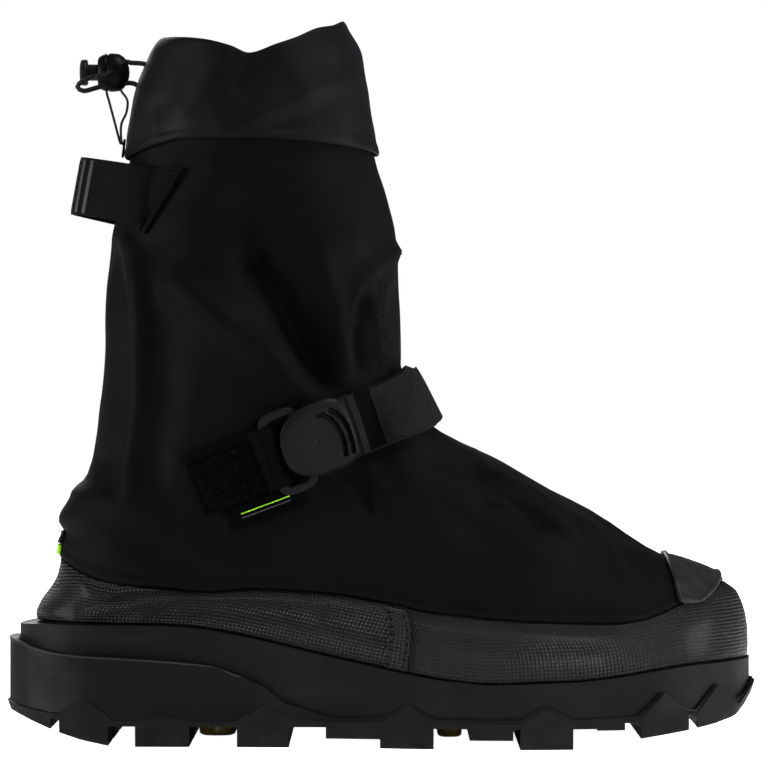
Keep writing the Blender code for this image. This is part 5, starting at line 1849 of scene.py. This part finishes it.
class MakeCuff(bpy.types.Operator):
    """Sews the ripstop cuff with its rolled edge."""

    bl_idname = "overshoe.cuff"
    bl_label = "Cuff"

    def execute(self, context):
        make_cuff()
        return {"FINISHED"}


class MakeInstepStrap(bpy.types.Operator):
    """Lays the webbing and its layers over the instep."""

    bl_idname = "overshoe.instep_strap"
    bl_label = "Instep strap"

    def execute(self, context):
        make_instep_strap()
        return {"FINISHED"}


class MakeStrapTail(bpy.types.Operator):
    """Sews the webbing's tail with its loop pile and the side label."""

    bl_idname = "overshoe.strap_tail"
    bl_label = "Strap tail"

    def execute(self, context):
        make_strap_tail()
        return {"FINISHED"}


class MakeBuckle(bpy.types.Operator):
    """Moulds the buckle's frame and lever."""

    bl_idname = "overshoe.buckle"
    bl_label = "Buckle"

    def execute(self, context):
        make_buckle()
        return {"FINISHED"}


class MakePullLoop(bpy.types.Operator):
    """Sews the webbing loop behind the shaft."""

    bl_idname = "overshoe.pull_loop"
    bl_label = "Pull loop"

    def execute(self, context):
        make_pull_loop()
        return {"FINISHED"}


class MakeCordLock(bpy.types.Operator):
    """Moulds the body and the button of the cord lock."""

    bl_idname = "overshoe.cord_lock"
    bl_label = "Cord lock"

    def execute(self, context):
        make_cord_lock()
        return {"FINISHED"}


class MakeToePatch(bpy.types.Operator):
    """Moulds the guard on the toe."""

    bl_idname = "overshoe.toe_patch"
    bl_label = "Toe patch"

    def execute(self, context):
        make_toe_patch()
        return {"FINISHED"}


class MakeSmallTabs(bpy.types.Operator):
    """Sews the tabs at the heel and at the keeper cord."""

    bl_idname = "overshoe.heel_tabs"
    bl_label = "Small tabs"

    def execute(self, context):
        make_heel_tabs()
        return {"FINISHED"}


class MakeSole(bpy.types.Operator):
    """Finishes the outsole, the midsole, the insole and the grip pads."""

    bl_idname = "overshoe.sole"
    bl_label = "Sole"

    def execute(self, context):
        make_sole()
        return {"FINISHED"}


OPERATORS = (
    MakeStage, MakeCords, MakeUpper, MakeFoxing, MakeCuff, MakeInstepStrap, MakeStrapTail, MakeBuckle,
    MakePullLoop, MakeCordLock, MakeToePatch, MakeSmallTabs, MakeSole,
)


class OVERSHOE_PT_panel(bpy.types.Panel):
    """Steps that dress the overshoe, and its looks."""

    bl_label = "Overshoe"
    bl_idname = "OVERSHOE_PT_panel"
    bl_space_type = "VIEW_3D"
    bl_region_type = "UI"
    bl_category = "Overshoe"

    def draw(self, context):
        for group in (context.scene.overshoe_looks, context.scene.overshoe_sizes):
            for name in group.__annotations__:
                self.layout.prop(group, name)
        for operator in OPERATORS:
            self.layout.operator(operator.bl_idname)


CLASSES = (OvershoeLooks, OvershoeSizes, *OPERATORS, OVERSHOE_PT_panel)


def register():
    for made in CLASSES:
        bpy.utils.register_class(made)
    bpy.types.Scene.overshoe_looks = PointerProperty(type=OvershoeLooks)
    bpy.types.Scene.overshoe_sizes = PointerProperty(type=OvershoeSizes)


def unregister():
    del bpy.types.Scene.overshoe_sizes
    del bpy.types.Scene.overshoe_looks
    for made in reversed(CLASSES):
        bpy.utils.unregister_class(made)


def main():
    register()
    bpy.ops.overshoe.stage()
    bpy.ops.overshoe.cords()
    bpy.ops.overshoe.upper()
    bpy.ops.overshoe.foxing()
    bpy.ops.overshoe.cuff()
    bpy.ops.overshoe.instep_strap()
    bpy.ops.overshoe.strap_tail()
    bpy.ops.overshoe.buckle()
    bpy.ops.overshoe.pull_loop()
    bpy.ops.overshoe.cord_lock()
    bpy.ops.overshoe.toe_patch()
    bpy.ops.overshoe.heel_tabs()
    bpy.ops.overshoe.sole()


if __name__ == "__main__":
    main()
